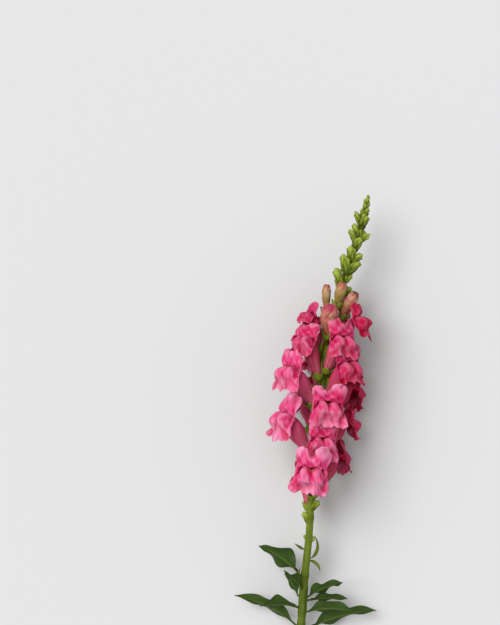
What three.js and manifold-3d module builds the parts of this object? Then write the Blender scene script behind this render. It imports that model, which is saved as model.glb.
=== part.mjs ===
// A cut snapdragon stem, Antirrhinum majus, lying on a flat surface. Millimetres, +Z up.
//
// The stem runs along +Y from its slanted cut to its green tip. Its blooms hold it off the
// surface. A height is a distance along +Y from the cut, and a bearing is an angle round the
// stem, from 0 at the top of the lying stem to +90 on its +X side and 180 underneath.
//
// Every form is skinned through rows of points. A bloom, a calyx or a stalk is worked out in
// the frame of its place on the stem: x to its side, y up the stem and z out from the stem.

import * as THREE from 'three';
import { LoftGeometry } from 'three/addons/geometries/LoftGeometry.js';
import * as BufferGeometryUtils from 'three/addons/utils/BufferGeometryUtils.js';
import Module from 'manifold-3d';

// ---------------------------------------------------------------- driving dimensions

const STEM_LENGTH = 408;
const STEM_BASE_RADIUS = 3.3;
const STEM_TIP_RADIUS = 0.9;
const STEM_SIDES = 8;
const STEM_STEPS = 24;
const CUT_SLANT = 3.0;

// The stem's line, at even steps of height: how far it stands to the side and off the surface.
const LINE_STEP = 34;
const LINE_ACROSS = [-12.5, -9.5, -6.5, -4, -0.5, 1.5, 5, 8, 11, 17.5, 28, 39, 46.5];
const LINE_RISE = [3.4, 9, 15, 21, 27, 31.8, 34.4, 35.4, 36.0, 37.2, 38.8, 40.4, 42.2];

// Where the middle of the part's underside lies, from the foot of the stem's line.
const ORIGIN_ACROSS = -3.5;
const ORIGIN_ALONG = 202.8;
const ORIGIN_RISE = 0.1;

const PETAL_THICKNESS = 0.6;
const LEAF_THICKNESS = 0.7;
const LEAF_SEAT = 0.8;

// The stalk of a bloom ends this far out from the stem's middle and up from its joint.
const STALK_REACH = 6.5;
const STALK_LIFT = 5;
const STALK_RADIUS = 1.1;
const STALK_ROOT = new THREE.Vector3(0, -1.5, 0);
const STALK_BEND = new THREE.Vector3(0, 0.5, 4.5);

const COLOURS = {
  stem: 0x8a9a3c,
  leaf: 0x3f5f2c,
  bloom: 0xe0447f,
  bud: 0xd98c8a,
};
const PETAL_ROUGHNESS = 0.55;
const LEAF_ROUGHNESS = 0.6;

// Where the seeded draws of each kind of piece begin.
const BLOOM_SEED = 1;
const BUD_SEED = 51;
const LEAF_SEED = 71;

// ---------------------------------------------------------------- the form of one bloom

// The tube and the closed bud, as rings: the ring's middle up and out from the calyx, the
// way its line leans up from straight out, and its half height and half width.
const RINGS = [
  { up: 0.5, out: 0.3, lean: 58, high: 2.1, wide: 2.1 },
  { up: 4.2, out: 2.7, lean: 57, high: 3.9, wide: 4.0 },
  { up: 10.2, out: 6.9, lean: 52, high: 4.5, wide: 4.9 },
  { up: 17.4, out: 12.8, lean: 50, high: 6.2, wide: 6.8 },
  { up: 21.8, out: 16.0, lean: 50, high: 5.8, wide: 6.6 },
  { up: 24.8, out: 18.3, lean: 51, high: 5.5, wide: 6.3 },
  { up: 27.2, out: 20.1, lean: 52, high: 4.7, wide: 5.5 },
  { up: 29.4, out: 21.6, lean: 54, high: 3.4, wide: 4.1 },
  { up: 31.2, out: 22.8, lean: 56, high: 1.4, wide: 1.8 },
];
const THROAT = 3;
const LAST_RING = RINGS.length - 1;
const PLUMP_FROM = 2;

// The open lips, from the upper lip's notch round one side to the lower lip's middle. Each
// line starts at its angle round the throat, and its points are the mouth, the turn, the
// swell, the waist and the edge, as [side, up, out]. A line strays by its own share of the lips' stray.
const LIPS = [
  // The notch.
  {
    round: 0,
    stray: 0.7,
    line: [[0, 29.8, 17.2], [0, 31.2, 23.4], [0, 33.4, 25.2], [0, 36.6, 25.6], [0, 40.8, 24.0]],
  },
  // The ear.
  {
    round: 32,
    stray: 1,
    line: [[4.2, 29.4, 17.6], [4.8, 31.0, 23.6], [5.3, 34.0, 25.6], [5.9, 38.4, 25.4], [6.6, 42.6, 22.6]],
  },
  // The shoulder.
  {
    round: 62,
    stray: 0.9,
    line: [[6.8, 28.2, 17.8], [8.2, 29.5, 21.8], [9.0, 31.8, 23.2], [10.2, 35.2, 22.6], [11.8, 38.6, 19.8]],
  },
  // The corner.
  {
    round: 92,
    stray: 0.3,
    line: [[7.2, 26.4, 18.2], [8.5, 26.9, 20.4], [9.3, 27.0, 21.4], [10.3, 27.2, 22.2], [11.6, 27.4, 22.8]],
  },
  // The wing.
  {
    round: 118,
    stray: 0.75,
    line: [[6.4, 25.6, 19.2], [8.4, 26.0, 23.8], [10.2, 22.8, 26.8], [11.6, 18.6, 26.4], [14.8, 15.4, 27.2]],
  },
  // The hump.
  {
    round: 148,
    stray: 0.8,
    line: [[3.8, 27.2, 20.0], [5.2, 29.4, 26.8], [6.4, 24.8, 32.0], [6.6, 18.0, 29.0], [9.2, 11.6, 31.1]],
  },
  // The keel.
  {
    round: 180,
    stray: 1,
    line: [[0, 26.4, 19.6], [0, 28.2, 26.0], [0, 24.2, 30.6], [0, 17.4, 28.8], [0, 8.6, 31.3]],
  },
];
const KEEL = LIPS.length - 1;
const ROUND = 2 * KEEL;

// Places round the bloom and along it where the skin has its points.
const BLOOM_COLUMNS = [0, 1, 2, 2.5, 3, 3.5, 4, 5, 6, 7, 8, 8.5, 9, 9.5, 10, 11];
const ROWS = [0, 1.4, 3, 4, 5, 6, 7, 8];

// How far the lip's lines stray at each ring, so that no two blooms are alike.
const STRAY = [0, 0, 0, 0, 0, 0.3, 0.5, 1.1, 1.9];
const STRAY_TO_SIDE = 0.6;

// Each bloom: its height and bearing on the stem, its size, how far it leans out from the
// usual bloom, how far it turns to its side, and how far it is open, fully where not given.
const BLOOMS = [
  { height: 165, bearing: 1, size: 1.12, lean: 16, turn: -6 },
  { height: 150, bearing: -165, size: 0.83, lean: -16 },
  { height: 165, bearing: 130, size: 0.98, lean: -4, turn: 8 },
  { height: 182, bearing: 4, size: 0.98, lean: -1, turn: 5 },
  { height: 190, bearing: 165, size: 0.93, lean: -7 },
  { height: 193, bearing: -46, size: 1.12, lean: 0, turn: -16 },
  { height: 200, bearing: 118, size: 0.86, lean: 0, turn: -8 },
  { height: 207, bearing: 12, size: 1.12, lean: 2, turn: -3 },
  { height: 211, bearing: -146, size: 1.0, lean: -9 },
  { height: 225, bearing: 132, size: 1.0, lean: 7 },
  { height: 233, bearing: -38, size: 1.1, lean: 5, turn: -16 },
  { height: 238, bearing: 44, size: 1.06, lean: -3, turn: -4 },
  { height: 243, bearing: -168, size: 0.94, lean: -11.5 },
  { height: 252, bearing: 130, size: 0.88, lean: -6 },
  { height: 262, bearing: 21, size: 0.98, lean: 0, turn: 6 },
  { height: 256, bearing: -28, size: 0.94, lean: -11, turn: -16 },
  { height: 268, bearing: -142, size: 0.86, lean: -6 },
  { height: 273, bearing: 168, size: 0.9, lean: -5 },
  { height: 276, bearing: 80, size: 0.96, lean: -12, turn: -6 },
  { height: 278, bearing: -64, size: 0.86, lean: -14, open: 0.7 },
];

// ---------------------------------------------------------------- the closed buds

const BUD_TIP = new THREE.Vector3(0, 0.6, 0.4);
const BUD_COLUMNS = [0, 1.5, 3, 4.5, 6, 7.5, 9, 10.5];
const BUD_ROWS = [0, 1, 2, 3, 4.5, 6, 7, 8];

// Each coloured bud: as a bloom, with how plump it is and the size of its calyx.
const BUDS = [
  { height: 289, bearing: -10, size: 0.78, plump: 1.34, calyx: 0.9, lean: -8 },
  { height: 297, bearing: 150, size: 0.78, plump: 1, calyx: 0.9, lean: -6 },
  { height: 305, bearing: 60, size: 0.66, plump: 1.12, calyx: 0.85, lean: -18 },
  { height: 306, bearing: -80, size: 0.62, plump: 0.9, calyx: 0.8, lean: -24 },
  { height: 312, bearing: 176, size: 0.58, plump: 1, calyx: 0.8, lean: -14 },
  { height: 313, bearing: -2, size: 0.56, plump: 1.14, calyx: 0.8, lean: -24 },
];

// ---------------------------------------------------------------- the calyx

const CALYX_LOBES = 5;
const CALYX = {
  foot: -2.2, wall: 0.5, wallRadius: 4.2,
  notch: 4.0, notchRadius: 5.8, tip: 7.8, tipRadius: 6.3,
};
const CALYX_THICKNESS = 0.8;
const CALYX_FLOOR = -0.5;
const CALYX_STALK_DEPTH = 1.1;

// ---------------------------------------------------------------- the green tip

// Each green bud: its height, bearing, length, width and lean out from the stem. The first
// few stand alone on the bare stem, and the rest crowd below the tip.
const GREEN_BUDS = [
  { height: 129, bearing: 84, long: 8, wide: 3.4, lean: 34 },
  { height: 130, bearing: -86, long: 7, wide: 3.2, lean: 30 },
  { height: 144, bearing: -80, long: 12, wide: 5.0, lean: 22 },
  { height: 155, bearing: 74, long: 11, wide: 6.0, lean: 26 },
  { height: 326, bearing: 118, long: 13, wide: 6.2, lean: 28 },
  { height: 330, bearing: -126, long: 13, wide: 6.2, lean: 28 },
  { height: 333, bearing: -66, long: 18, wide: 7.6, lean: 31 },
  { height: 337, bearing: 112, long: 10, wide: 4.6, lean: 16 },
  { height: 341, bearing: 170, long: 13, wide: 6.4, lean: 26 },
  { height: 344, bearing: -52, long: 18, wide: 7.4, lean: 26 },
  { height: 345, bearing: 72, long: 14, wide: 7.4, lean: 18 },
  { height: 352, bearing: 176, long: 12, wide: 6.0, lean: 26 },
  { height: 354, bearing: -34, long: 15, wide: 6.8, lean: 24 },
  { height: 354, bearing: 58, long: 12, wide: 6.0, lean: 32 },
  { height: 362, bearing: -160, long: 11, wide: 5.6, lean: 24 },
  { height: 364, bearing: 12, long: 12, wide: 6.2, lean: 14 },
  { height: 368, bearing: -82, long: 14, wide: 4.8, lean: 36 },
  { height: 370, bearing: 86, long: 12, wide: 5.0, lean: 32 },
  { height: 372, bearing: 152, long: 10, wide: 5.0, lean: 22 },
  { height: 373, bearing: -112, long: 13, wide: 6.0, lean: 26 },
  { height: 380, bearing: 170, long: 9, wide: 5.0, lean: 22 },
  { height: 382, bearing: -86, long: 14, wide: 4.6, lean: 28 },
  { height: 383, bearing: 32, long: 10, wide: 5.8, lean: 16 },
];

// A green bud's outline, as shares of its length and width, its sides, how deep its foot is
// sunk, and how far its tip hooks out as a share of its width.
const GREEN_BUD_PROFILE = [[0.04, 0.5], [0.4, 1], [0.8, 0.76]];
const GREEN_BUD_SIDES = 5;
const GREEN_BUD_FOOT = 0.8;
const GREEN_BUD_HOOK = 0.3;

// The buds of the very tip, set round it at the golden angle and smaller towards its end.
const TIP_BUDS = 10;
const TIP_START = 386;
const TIP_PITCH = 1.8;
const TIP_BUD_LONG = 8.2;
const TIP_BUD_WIDE = 4.1;
const TIP_BUD_SHRINK = 0.035;
const TIP_LEAN = 16;
const GOLDEN_ANGLE = 137.5;

// ---------------------------------------------------------------- bracts and leaves

// The half width of a leaf along its length, as a share of its widest.
const LEAF_OUTLINE = [0.16, 0.34, 0.78, 1, 0.94, 0.72, 0.4, 0];
const RIB_DEPTH = 0.5;
const WAVES_ALONG = 3.2;
const LEAF_ROWS = 9;
const LEAF_COLUMNS = 5;
const LEAF_LEAST_HALF = 0.45;
const TWIST_BY = 0.4;

// The small leaf below each bloom, and the stray ones lower down: where each stands, its
// length and width, the angle at which it leaves the stem and how far it then bends.
const BRACT_BELOW = 2;
const BRACT = { long: 8, wide: 3.2, lift: 40, droop: 34, rows: 4 };
const STRAY_BRACTS = [
  { height: 98, bearing: -48, long: 15, wide: 2.4, lift: 62, droop: -96, roll: 60, rows: 6 },
  { height: 115, bearing: 66, long: 15, wide: 2.8, lift: 74, droop: 100, roll: 60, rows: 6 },
  { height: 116, bearing: 80, long: 24, wide: 3.4, lift: 58, droop: -110, roll: 60, rows: 7 },
  { height: 123, bearing: -82, long: 11, wide: 2.8, lift: 72, droop: -20, roll: 60, rows: 4 },
];
const RIB_STEPS = 6;
const BRACT_THICKNESS = 1.0;
const BRACT_FOOT = 0.2;

// Each leaf: its height and bearing, its length and width, the angle at which it leaves the
// stem, how far it then bends down, how far it bends to its side, its roll, and the wave and
// fold of its edges.
const LEAVES = [
  {
    height: 58, bearing: 96, long: 60, wide: 14,
    lift: 54, droop: 30, sweep: -6, roll: -62, wave: 1.6, fold: 0.25,
  },
  {
    height: 62, bearing: -94, long: 56, wide: 13,
    lift: 52, droop: 34, sweep: 6, roll: 60, wave: 1.4, fold: 0.25,
  },
  {
    height: 74, bearing: 62, long: 44, wide: 15,
    lift: 66, droop: 26, roll: -50, wave: 1.6, fold: 0.2,
  },
  {
    height: 77, bearing: -60, long: 36, wide: 12,
    lift: 72, droop: 26, roll: 50, wave: 1.4, fold: 0.3,
  },
  {
    height: 83, bearing: 88, long: 32, wide: 9,
    lift: 76, droop: 14, roll: -60, wave: 1.2, fold: 0.25,
  },
  {
    height: 86, bearing: 60, long: 36, wide: 13,
    lift: 50, droop: 22, roll: -40, wave: 1.4, fold: 0.2,
  },
  {
    height: 86, bearing: -78, long: 25, wide: 7,
    lift: 30, droop: 4, roll: 60, wave: 0.6, fold: 0.3,
  },
  {
    height: 103, bearing: -84, long: 42, wide: 16,
    lift: 44, droop: 30, roll: 66, wave: 1.8, fold: 0.2,
  },
  {
    height: 92, bearing: -28, long: 30, wide: 9,
    lift: 40, droop: 34, sweep: -16, roll: 20, wave: 1.2, fold: 0.25,
  },
];

// ---------------------------------------------------------------- small maths

const turns = (degrees) => THREE.MathUtils.degToRad(degrees);

/** A number from 0 to 1 that looks random and is the same each time for one seed. */
function draw(seed) {
  const swing = Math.sin(seed * 12.9898 + 4.1414) * 43758.5453;
  return swing - Math.floor(swing);
}

/** The four weights of a smooth curve between its second and third points. */
function smoothWeights(t) {
  return [
    0.5 * (-t + 2 * t * t - t * t * t),
    0.5 * (2 - 5 * t * t + 3 * t * t * t),
    0.5 * (t + 4 * t * t - 3 * t * t * t),
    0.5 * (-t * t + t * t * t),
  ];
}

/** A smooth curve through a list of numbers that stand at even steps. */
function smoothNumber(values, place) {
  const last = values.length - 1;
  const at = Math.min(Math.floor(place), last - 1);
  const weights = smoothWeights(place - at);
  const value = (index) => {
    if (index < 0) return 2 * values[0] - values[1];
    if (index > last) return 2 * values[last] - values[last - 1];
    return values[index];
  };
  return weights.reduce((sum, weight, k) => sum + weight * value(at - 1 + k), 0);
}

/** A smooth curve through points that a function gives at whole steps. */
function smoothPoint(pointAt, place) {
  const at = Math.floor(place);
  const sum = new THREE.Vector3();
  smoothWeights(place - at).forEach((weight, k) => sum.addScaledVector(pointAt(at - 1 + k), weight));
  return sum;
}

// ---------------------------------------------------------------- skins and solids

/** One open skin through rows of points. A turned skin faces the other way. */
function skin(rows, { ring = true, turned = false } = {}) {
  const geometry = new LoftGeometry(rows, { closed: ring });
  geometry.deleteAttribute('normal');
  geometry.deleteAttribute('uv');
  if (turned) geometry.index.array.reverse();
  return geometry;
}

/** A row whose points all lie at one place, which closes a ring of the same length. */
function pinched(row, place) {
  return row.map(() => place.clone());
}

/** The middle of a row of points. */
function middle(row) {
  return row.reduce((sum, point) => sum.add(point), new THREE.Vector3()).divideScalar(row.length);
}

/** Joins skins into one closed body: merges shared points, drops slivers, faces outward. */
function body(skins) {
  const merged = BufferGeometryUtils.mergeVertices(BufferGeometryUtils.mergeGeometries(skins));
  const index = merged.index.array;
  const kept = [];
  for (let i = 0; i < index.length; i += 3) {
    const [a, b, c] = index.slice(i, i + 3);
    if (a !== b && b !== c && c !== a) kept.push(a, b, c);
  }
  if (volume(merged.attributes.position, kept) < 0) kept.reverse();
  merged.setIndex(kept);
  return merged;
}

/** The signed volume inside a closed skin. */
function volume(position, index) {
  const [a, b, c] = [new THREE.Vector3(), new THREE.Vector3(), new THREE.Vector3()];
  let sum = 0;
  for (let i = 0; i < index.length; i += 3) {
    a.fromBufferAttribute(position, index[i]);
    b.fromBufferAttribute(position, index[i + 1]);
    c.fromBufferAttribute(position, index[i + 2]);
    sum += a.dot(b.cross(c)) / 6;
  }
  return sum;
}

/** A closed body through rings, each end pinched to a point or to its ring's middle. */
function spindle(rings, start = middle(rings[0]), end = middle(rings[rings.length - 1])) {
  return body([skin([pinched(rings[0], start), ...rings, pinched(rings[0], end)])]);
}

/** A thin closed blade between two faces that have the same rows and columns. */
function blade(upper, lower) {
  const edge = (face) => [
    ...face[0],
    ...face.slice(1, -1).map((row) => row[row.length - 1]),
    ...face[face.length - 1].slice().reverse(),
    ...face.slice(1, -1).map((row) => row[0]).reverse(),
  ];
  return body([
    skin(upper, { ring: false }),
    skin(lower, { ring: false, turned: true }),
    skin([edge(lower), edge(upper)]),
  ]);
}

// ---------------------------------------------------------------- places on the stem

/** The point of the stem's middle line at a height. */
function lineAt(height) {
  const place = height / LINE_STEP;
  return new THREE.Vector3(smoothNumber(LINE_ACROSS, place), height, smoothNumber(LINE_RISE, place));
}

/** The stem's radius at a height. */
function stemRadius(height) {
  const share = Math.pow(Math.max(height, 0) / STEM_LENGTH, 1.6);
  return THREE.MathUtils.lerp(STEM_BASE_RADIUS, STEM_TIP_RADIUS, share);
}

/** The frame of a place on the stem: x to its side, y up the stem, z out at the bearing. */
function placeOn(height, bearing) {
  const up = lineAt(height + 1).sub(lineAt(height - 1)).normalize();
  const top = new THREE.Vector3(0, 0, 1).addScaledVector(up, -up.z).normalize();
  const right = up.clone().cross(top);
  const angle = turns(bearing);
  const out = top.multiplyScalar(Math.cos(angle)).addScaledVector(right, Math.sin(angle));
  const side = up.clone().cross(out);
  return new THREE.Matrix4().makeBasis(side, up, out).setPosition(lineAt(height));
}

/** A bloom's own frame, at the top of its stalk. */
function bloomFrame({ height, bearing, lean = 0, turn = 0, reach = STALK_REACH, lift = STALK_LIFT }) {
  return placeOn(height, bearing)
    .multiply(new THREE.Matrix4().makeTranslation(0, lift, reach))
    .multiply(new THREE.Matrix4().makeRotationX(turns(lean)))
    .multiply(new THREE.Matrix4().makeRotationY(turns(turn)));
}

// ---------------------------------------------------------------- blooms and buds

/** A point of a ring of the tube, at an angle round it from its upper side. */
function ringPoint({ up, out, lean, high, wide }, round, plump) {
  const rise = Math.cos(turns(round)) * high * plump;
  return new THREE.Vector3(
    Math.sin(turns(round)) * wide * plump,
    up + rise * Math.cos(turns(lean)),
    out - rise * Math.sin(turns(lean)),
  );
}

/** A point of the control net: a whole column and row of a bloom that is so far open. */
function netPoint(column, row, { open, seed, plump = 1 }) {
  const folded = ((column % ROUND) + ROUND) % ROUND;
  const mirrored = folded > KEEL;
  const lip = LIPS[mirrored ? ROUND - folded : folded];
  const at = THREE.MathUtils.clamp(row, 0, LAST_RING);
  const point = ringPoint(RINGS[at], lip.round, at < PLUMP_FROM ? 1 : plump);
  if (at > THROAT) point.lerp(new THREE.Vector3(...lip.line[at - THROAT - 1]), open);
  if (mirrored) point.x *= -1;
  const reach = open * open * lip.stray * STRAY[at];
  const stray = (axis) => reach * (2 * draw(97 * seed + 13 * folded + 5 * at + axis) - 1);
  return point.add(new THREE.Vector3(STRAY_TO_SIDE * stray(0), stray(1), stray(2)));
}

/** A point of the petal's outer side, for any place round and along the bloom. */
function petalPoint(column, row, bloom) {
  const along = (whole) => smoothPoint((step) => netPoint(whole, step, bloom), row);
  return smoothPoint(along, column);
}

/** Rows of points moved inward from a ringed skin, each row by its own depth. */
function setIn(rows, depths) {
  const last = rows.length - 1;
  return rows.map((row, j) => row.map((point, i) => {
    const around = row[(i + 1) % row.length].clone().sub(row[(i + row.length - 1) % row.length]);
    const along = rows[Math.min(j + 1, last)][i].clone().sub(rows[Math.max(j - 1, 0)][i]);
    return point.clone().addScaledVector(around.cross(along).normalize(), depths[j]);
  }));
}

/** One bloom: a tube with a two-lobed upper lip, a humped palate and a three-lobed lower lip. */
function bloomGeometry(bloom) {
  const net = ROWS.map((row) => BLOOM_COLUMNS.map((column) => petalPoint(column, row, bloom)));
  const thickness = PETAL_THICKNESS / bloom.size;
  const outward = ROWS.map((row) => THREE.MathUtils.clamp(row - THROAT, 0, 1) * thickness);
  const outside = setIn(net, outward.map((depth) => -depth));
  const inside = setIn(net, outward.map((depth) => thickness - depth)).slice(ROWS.indexOf(THROAT));
  return body([
    skin([pinched(outside[0], new THREE.Vector3()), ...outside]),
    skin([outside[outside.length - 1], inside[inside.length - 1]]),
    skin([pinched(inside[0], middle(inside[0])), ...inside], { turned: true }),
  ]);
}

/** One closed bud: the bloom's rings alone, drawn to a blunt tip. */
function budGeometry(bud) {
  const rings = BUD_ROWS.map((row) => BUD_COLUMNS.map((column) => petalPoint(column, row, bud)));
  const tip = middle(rings[rings.length - 1]).add(BUD_TIP);
  return spindle(rings, new THREE.Vector3(0, 0, 0), tip);
}

/** The five-lobed green cup that holds the foot of a bloom. */
function calyxGeometry() {
  const slope = turns(RINGS[0].lean);
  const ring = (heightAt, radiusAt) => Array.from({ length: 2 * CALYX_LOBES }, (_, k) => {
    const angle = (Math.PI * k) / CALYX_LOBES;
    const rise = Math.cos(angle) * radiusAt(k);
    const along = heightAt(k);
    return new THREE.Vector3(
      Math.sin(angle) * radiusAt(k),
      along * Math.sin(slope) + rise * Math.cos(slope),
      along * Math.cos(slope) - rise * Math.sin(slope),
    );
  });
  const centre = (along) => new THREE.Vector3(0, along * Math.sin(slope), along * Math.cos(slope));
  const isTip = (k) => k % 2 === 0;
  const rimHeight = (k) => (isTip(k) ? CALYX.tip : CALYX.notch);
  const rimRadius = (k) => (isTip(k) ? CALYX.tipRadius : CALYX.notchRadius);
  const outside = [ring(() => CALYX.wall, () => CALYX.wallRadius), ring(rimHeight, rimRadius)];
  const inside = [
    ring(() => CALYX.wall, () => CALYX.wallRadius - CALYX_THICKNESS),
    ring(rimHeight, (k) => rimRadius(k) - CALYX_THICKNESS),
  ];
  return body([
    skin([pinched(outside[0], centre(CALYX.foot)), ...outside]),
    skin([outside[1], inside[1]]),
    skin([pinched(inside[0], centre(CALYX_FLOOR)), ...inside], { turned: true }),
  ]);
}

/** The stalk from the stem to a calyx, in the frame of its place on the stem. */
function stalkGeometry(calyxFrame, calyxSize) {
  const { lean } = RINGS[0];
  const foot = CALYX.foot + CALYX_STALK_DEPTH;
  const end = new THREE.Vector3(0, foot * Math.sin(turns(lean)), foot * Math.cos(turns(lean)));
  end.multiplyScalar(calyxSize).applyMatrix4(calyxFrame);
  const curve = new THREE.QuadraticBezierCurve3(STALK_ROOT.clone(), STALK_BEND.clone(), end);
  return tubeAlong(curve, 2, 4, STALK_RADIUS * calyxSize);
}

/** A tube along a curve. */
function tubeAlong(curve, steps, sides, radius) {
  const frames = curve.computeFrenetFrames(steps, false);
  const rings = Array.from({ length: steps + 1 }, (_, j) => {
    const centre = curve.getPointAt(j / steps);
    return Array.from({ length: sides }, (__, k) => {
      const angle = (2 * Math.PI * k) / sides;
      return centre.clone()
        .addScaledVector(frames.normals[j], Math.cos(angle) * radius)
        .addScaledVector(frames.binormals[j], Math.sin(angle) * radius);
    });
  });
  return spindle(rings);
}

// ---------------------------------------------------------------- leaves, bracts and green buds

/** The middle rib of a leaf: points along it, with its side and its upper side there. */
function leafRib({ long, lift, droop, sweep = 0, roll = 0 }, rows) {
  const fine = RIB_STEPS;
  const steps = (rows - 1) * fine;
  const point = new THREE.Vector3();
  const rib = [];
  for (let j = 0; j <= steps; j += 1) {
    const t = j / steps;
    const bend = turns(lift + droop * t);
    const yaw = turns(sweep * t);
    const out = Math.sin(bend);
    const way = new THREE.Vector3(out * Math.sin(yaw), Math.cos(bend), out * Math.cos(yaw));
    const twist = turns(roll) * THREE.MathUtils.smoothstep(t, 0, TWIST_BY);
    const across = new THREE.Vector3(Math.cos(yaw), 0, -Math.sin(yaw)).applyAxisAngle(way, twist);
    const above = way.clone().cross(across);
    if (j % fine === 0) rib.push({ t, point: point.clone(), across, above });
    point.addScaledVector(way, long / steps);
  }
  return rib;
}

/** One leaf blade: lance-shaped, folded up along its rib, with waved edges. */
function leafGeometry(leaf) {
  const { wide, wave, fold, seed } = leaf;
  const faces = { upper: [], lower: [] };
  leafRib(leaf, LEAF_ROWS).forEach(({ t, point, across, above }) => {
    const outline = smoothNumber(LEAF_OUTLINE, t * (LEAF_OUTLINE.length - 1));
    const half = Math.max(outline * wide * 0.5, LEAF_LEAST_HALF);
    const upper = [];
    const lower = [];
    for (let i = 0; i < LEAF_COLUMNS; i += 1) {
      const s = (2 * i) / (LEAF_COLUMNS - 1) - 1;
      const phase = Math.PI * (WAVES_ALONG * t + 0.5 * s) + 2 * Math.PI * draw(seed);
      const ripple = wave * s * s * Math.sin(phase) * Math.sin(Math.PI * t);
      const lifted = fold * half * Math.abs(s) + ripple;
      const spot = point.clone().addScaledVector(across, s * half).addScaledVector(above, lifted);
      const rib = s === 0 ? RIB_DEPTH * (1 - t) : 0;
      upper.push(spot.clone().addScaledVector(above, LEAF_THICKNESS / 2));
      lower.push(spot.addScaledVector(above, -LEAF_THICKNESS / 2 - rib));
    }
    faces.upper.push(upper);
    faces.lower.push(lower);
  });
  return blade(faces.upper, faces.lower);
}

/** One small leaf: a lance shape with a flat diamond section. */
function bractGeometry(bract) {
  const rib = leafRib(bract, bract.rows);
  const rings = rib.slice(0, -1).map(({ t, point, across, above }) => {
    const half = Math.sin(Math.PI * THREE.MathUtils.lerp(BRACT_FOOT, 1, t)) * bract.wide * 0.5;
    const spot = (side, rise) => point.clone().addScaledVector(across, side).addScaledVector(above, rise);
    const thick = BRACT_THICKNESS / 2;
    return [spot(half, 0), spot(0, thick), spot(-half, 0), spot(0, -thick)];
  });
  return spindle(rings, rib[0].point, rib[rib.length - 1].point);
}

/** One closed green bud with its pointed calyx, standing up from the stem. */
function greenBudGeometry({ long, wide, lean }) {
  const rings = GREEN_BUD_PROFILE.map(([t, share]) => Array.from({ length: GREEN_BUD_SIDES }, (_, k) => {
    const angle = (2 * Math.PI * k) / GREEN_BUD_SIDES;
    const radius = share * wide * 0.5;
    return new THREE.Vector3(Math.cos(angle) * radius, t * long, -Math.sin(angle) * radius);
  }));
  const foot = new THREE.Vector3(0, -GREEN_BUD_FOOT, 0);
  const tip = new THREE.Vector3(0, long, GREEN_BUD_HOOK * wide);
  return spindle(rings, foot, tip).rotateX(turns(lean));
}

// ---------------------------------------------------------------- joining the leafy stem

const wasm = await Module();
wasm.setup();

/** A closed geometry as a solid that can be joined. */
function solid(geometry, matrix) {
  if (matrix) geometry.applyMatrix4(matrix);
  return new wasm.Manifold(new wasm.Mesh({
    numProp: 3,
    vertProperties: geometry.attributes.position.array,
    triVerts: new Uint32Array(geometry.index.array),
  }));
}

/** A joined solid as a geometry. */
function geometryOf(joined) {
  const { vertProperties, triVerts } = joined.getMesh();
  const geometry = new THREE.BufferGeometry();
  geometry.setAttribute('position', new THREE.BufferAttribute(vertProperties, 3));
  geometry.setIndex(new THREE.BufferAttribute(triVerts, 1));
  return geometry;
}

/** The bare main axis, with its slanted cut. */
function axisGeometry() {
  const rings = Array.from({ length: STEM_STEPS + 1 }, (_, j) => {
    const height = (STEM_LENGTH * j) / STEM_STEPS;
    const radius = stemRadius(height);
    const frame = placeOn(height, 0);
    return Array.from({ length: STEM_SIDES }, (__, k) => {
      const angle = (2 * Math.PI * k) / STEM_SIDES;
      const slant = j === 0 ? CUT_SLANT * Math.cos(angle) : 0;
      const spot = new THREE.Vector3(Math.cos(angle) * radius, slant, -Math.sin(angle) * radius);
      return spot.applyMatrix4(frame);
    });
  });
  return spindle(rings);
}

/** The place of a bract, sunk a little into the stem's side. */
function bractFrame(height, bearing) {
  return placeOn(height, bearing)
    .multiply(new THREE.Matrix4().makeTranslation(0, 0, stemRadius(height) * 0.5));
}

/** The calyx, stalk and bract of one bloom, ready to join to the stem. */
function greenPartsOf(flower) {
  const { height, bearing, calyx = flower.size } = flower;
  const frame = bloomFrame(flower);
  const own = placeOn(height, bearing).invert().multiply(frame);
  const cup = calyxGeometry().applyMatrix4(new THREE.Matrix4().makeScale(calyx, calyx, calyx));
  return [
    solid(cup, frame),
    solid(stalkGeometry(own, calyx), placeOn(height, bearing)),
    solid(bractGeometry(BRACT), bractFrame(height - BRACT_BELOW, bearing)),
  ];
}

/** The leafy stem: axis, stalks, calyces, bracts and the green tip, all one body. */
function stemGeometry() {
  const pieces = [solid(axisGeometry()), ...[...BLOOMS, ...BUDS].flatMap(greenPartsOf)];
  GREEN_BUDS.forEach((bud) => {
    pieces.push(solid(greenBudGeometry(bud), placeOn(bud.height, bud.bearing)));
  });
  STRAY_BRACTS.forEach((bract) => {
    pieces.push(solid(bractGeometry(bract), bractFrame(bract.height, bract.bearing)));
  });
  for (let k = 0; k < TIP_BUDS; k += 1) {
    const height = TIP_START + TIP_PITCH * k;
    const size = 1 - TIP_BUD_SHRINK * k;
    const bud = { long: TIP_BUD_LONG * size, wide: TIP_BUD_WIDE * size, lean: TIP_LEAN * size };
    pieces.push(solid(greenBudGeometry(bud), placeOn(height, GOLDEN_ANGLE * k)));
  }
  return geometryOf(pieces.reduce((joined, piece) => joined.add(piece)));
}

// ---------------------------------------------------------------- the whole part

/** A named piece with its own material. */
function piece(name, geometry, colour, roughness) {
  const material = new THREE.MeshStandardMaterial({ color: colour, roughness, metalness: 0 });
  const mesh = new THREE.Mesh(geometry, material);
  mesh.name = name;
  return mesh;
}

/** A flower's mesh, standing in its calyx. */
function flowerPiece(name, geometry, flower, colour) {
  const frame = bloomFrame(flower);
  frame.multiply(new THREE.Matrix4().makeScale(flower.size, flower.size, flower.size));
  return piece(name, geometry.applyMatrix4(frame), colour, PETAL_ROUGHNESS);
}

const numbered = (stemName, index) => `${stemName}_${String(index + 1).padStart(2, '0')}`;

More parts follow.
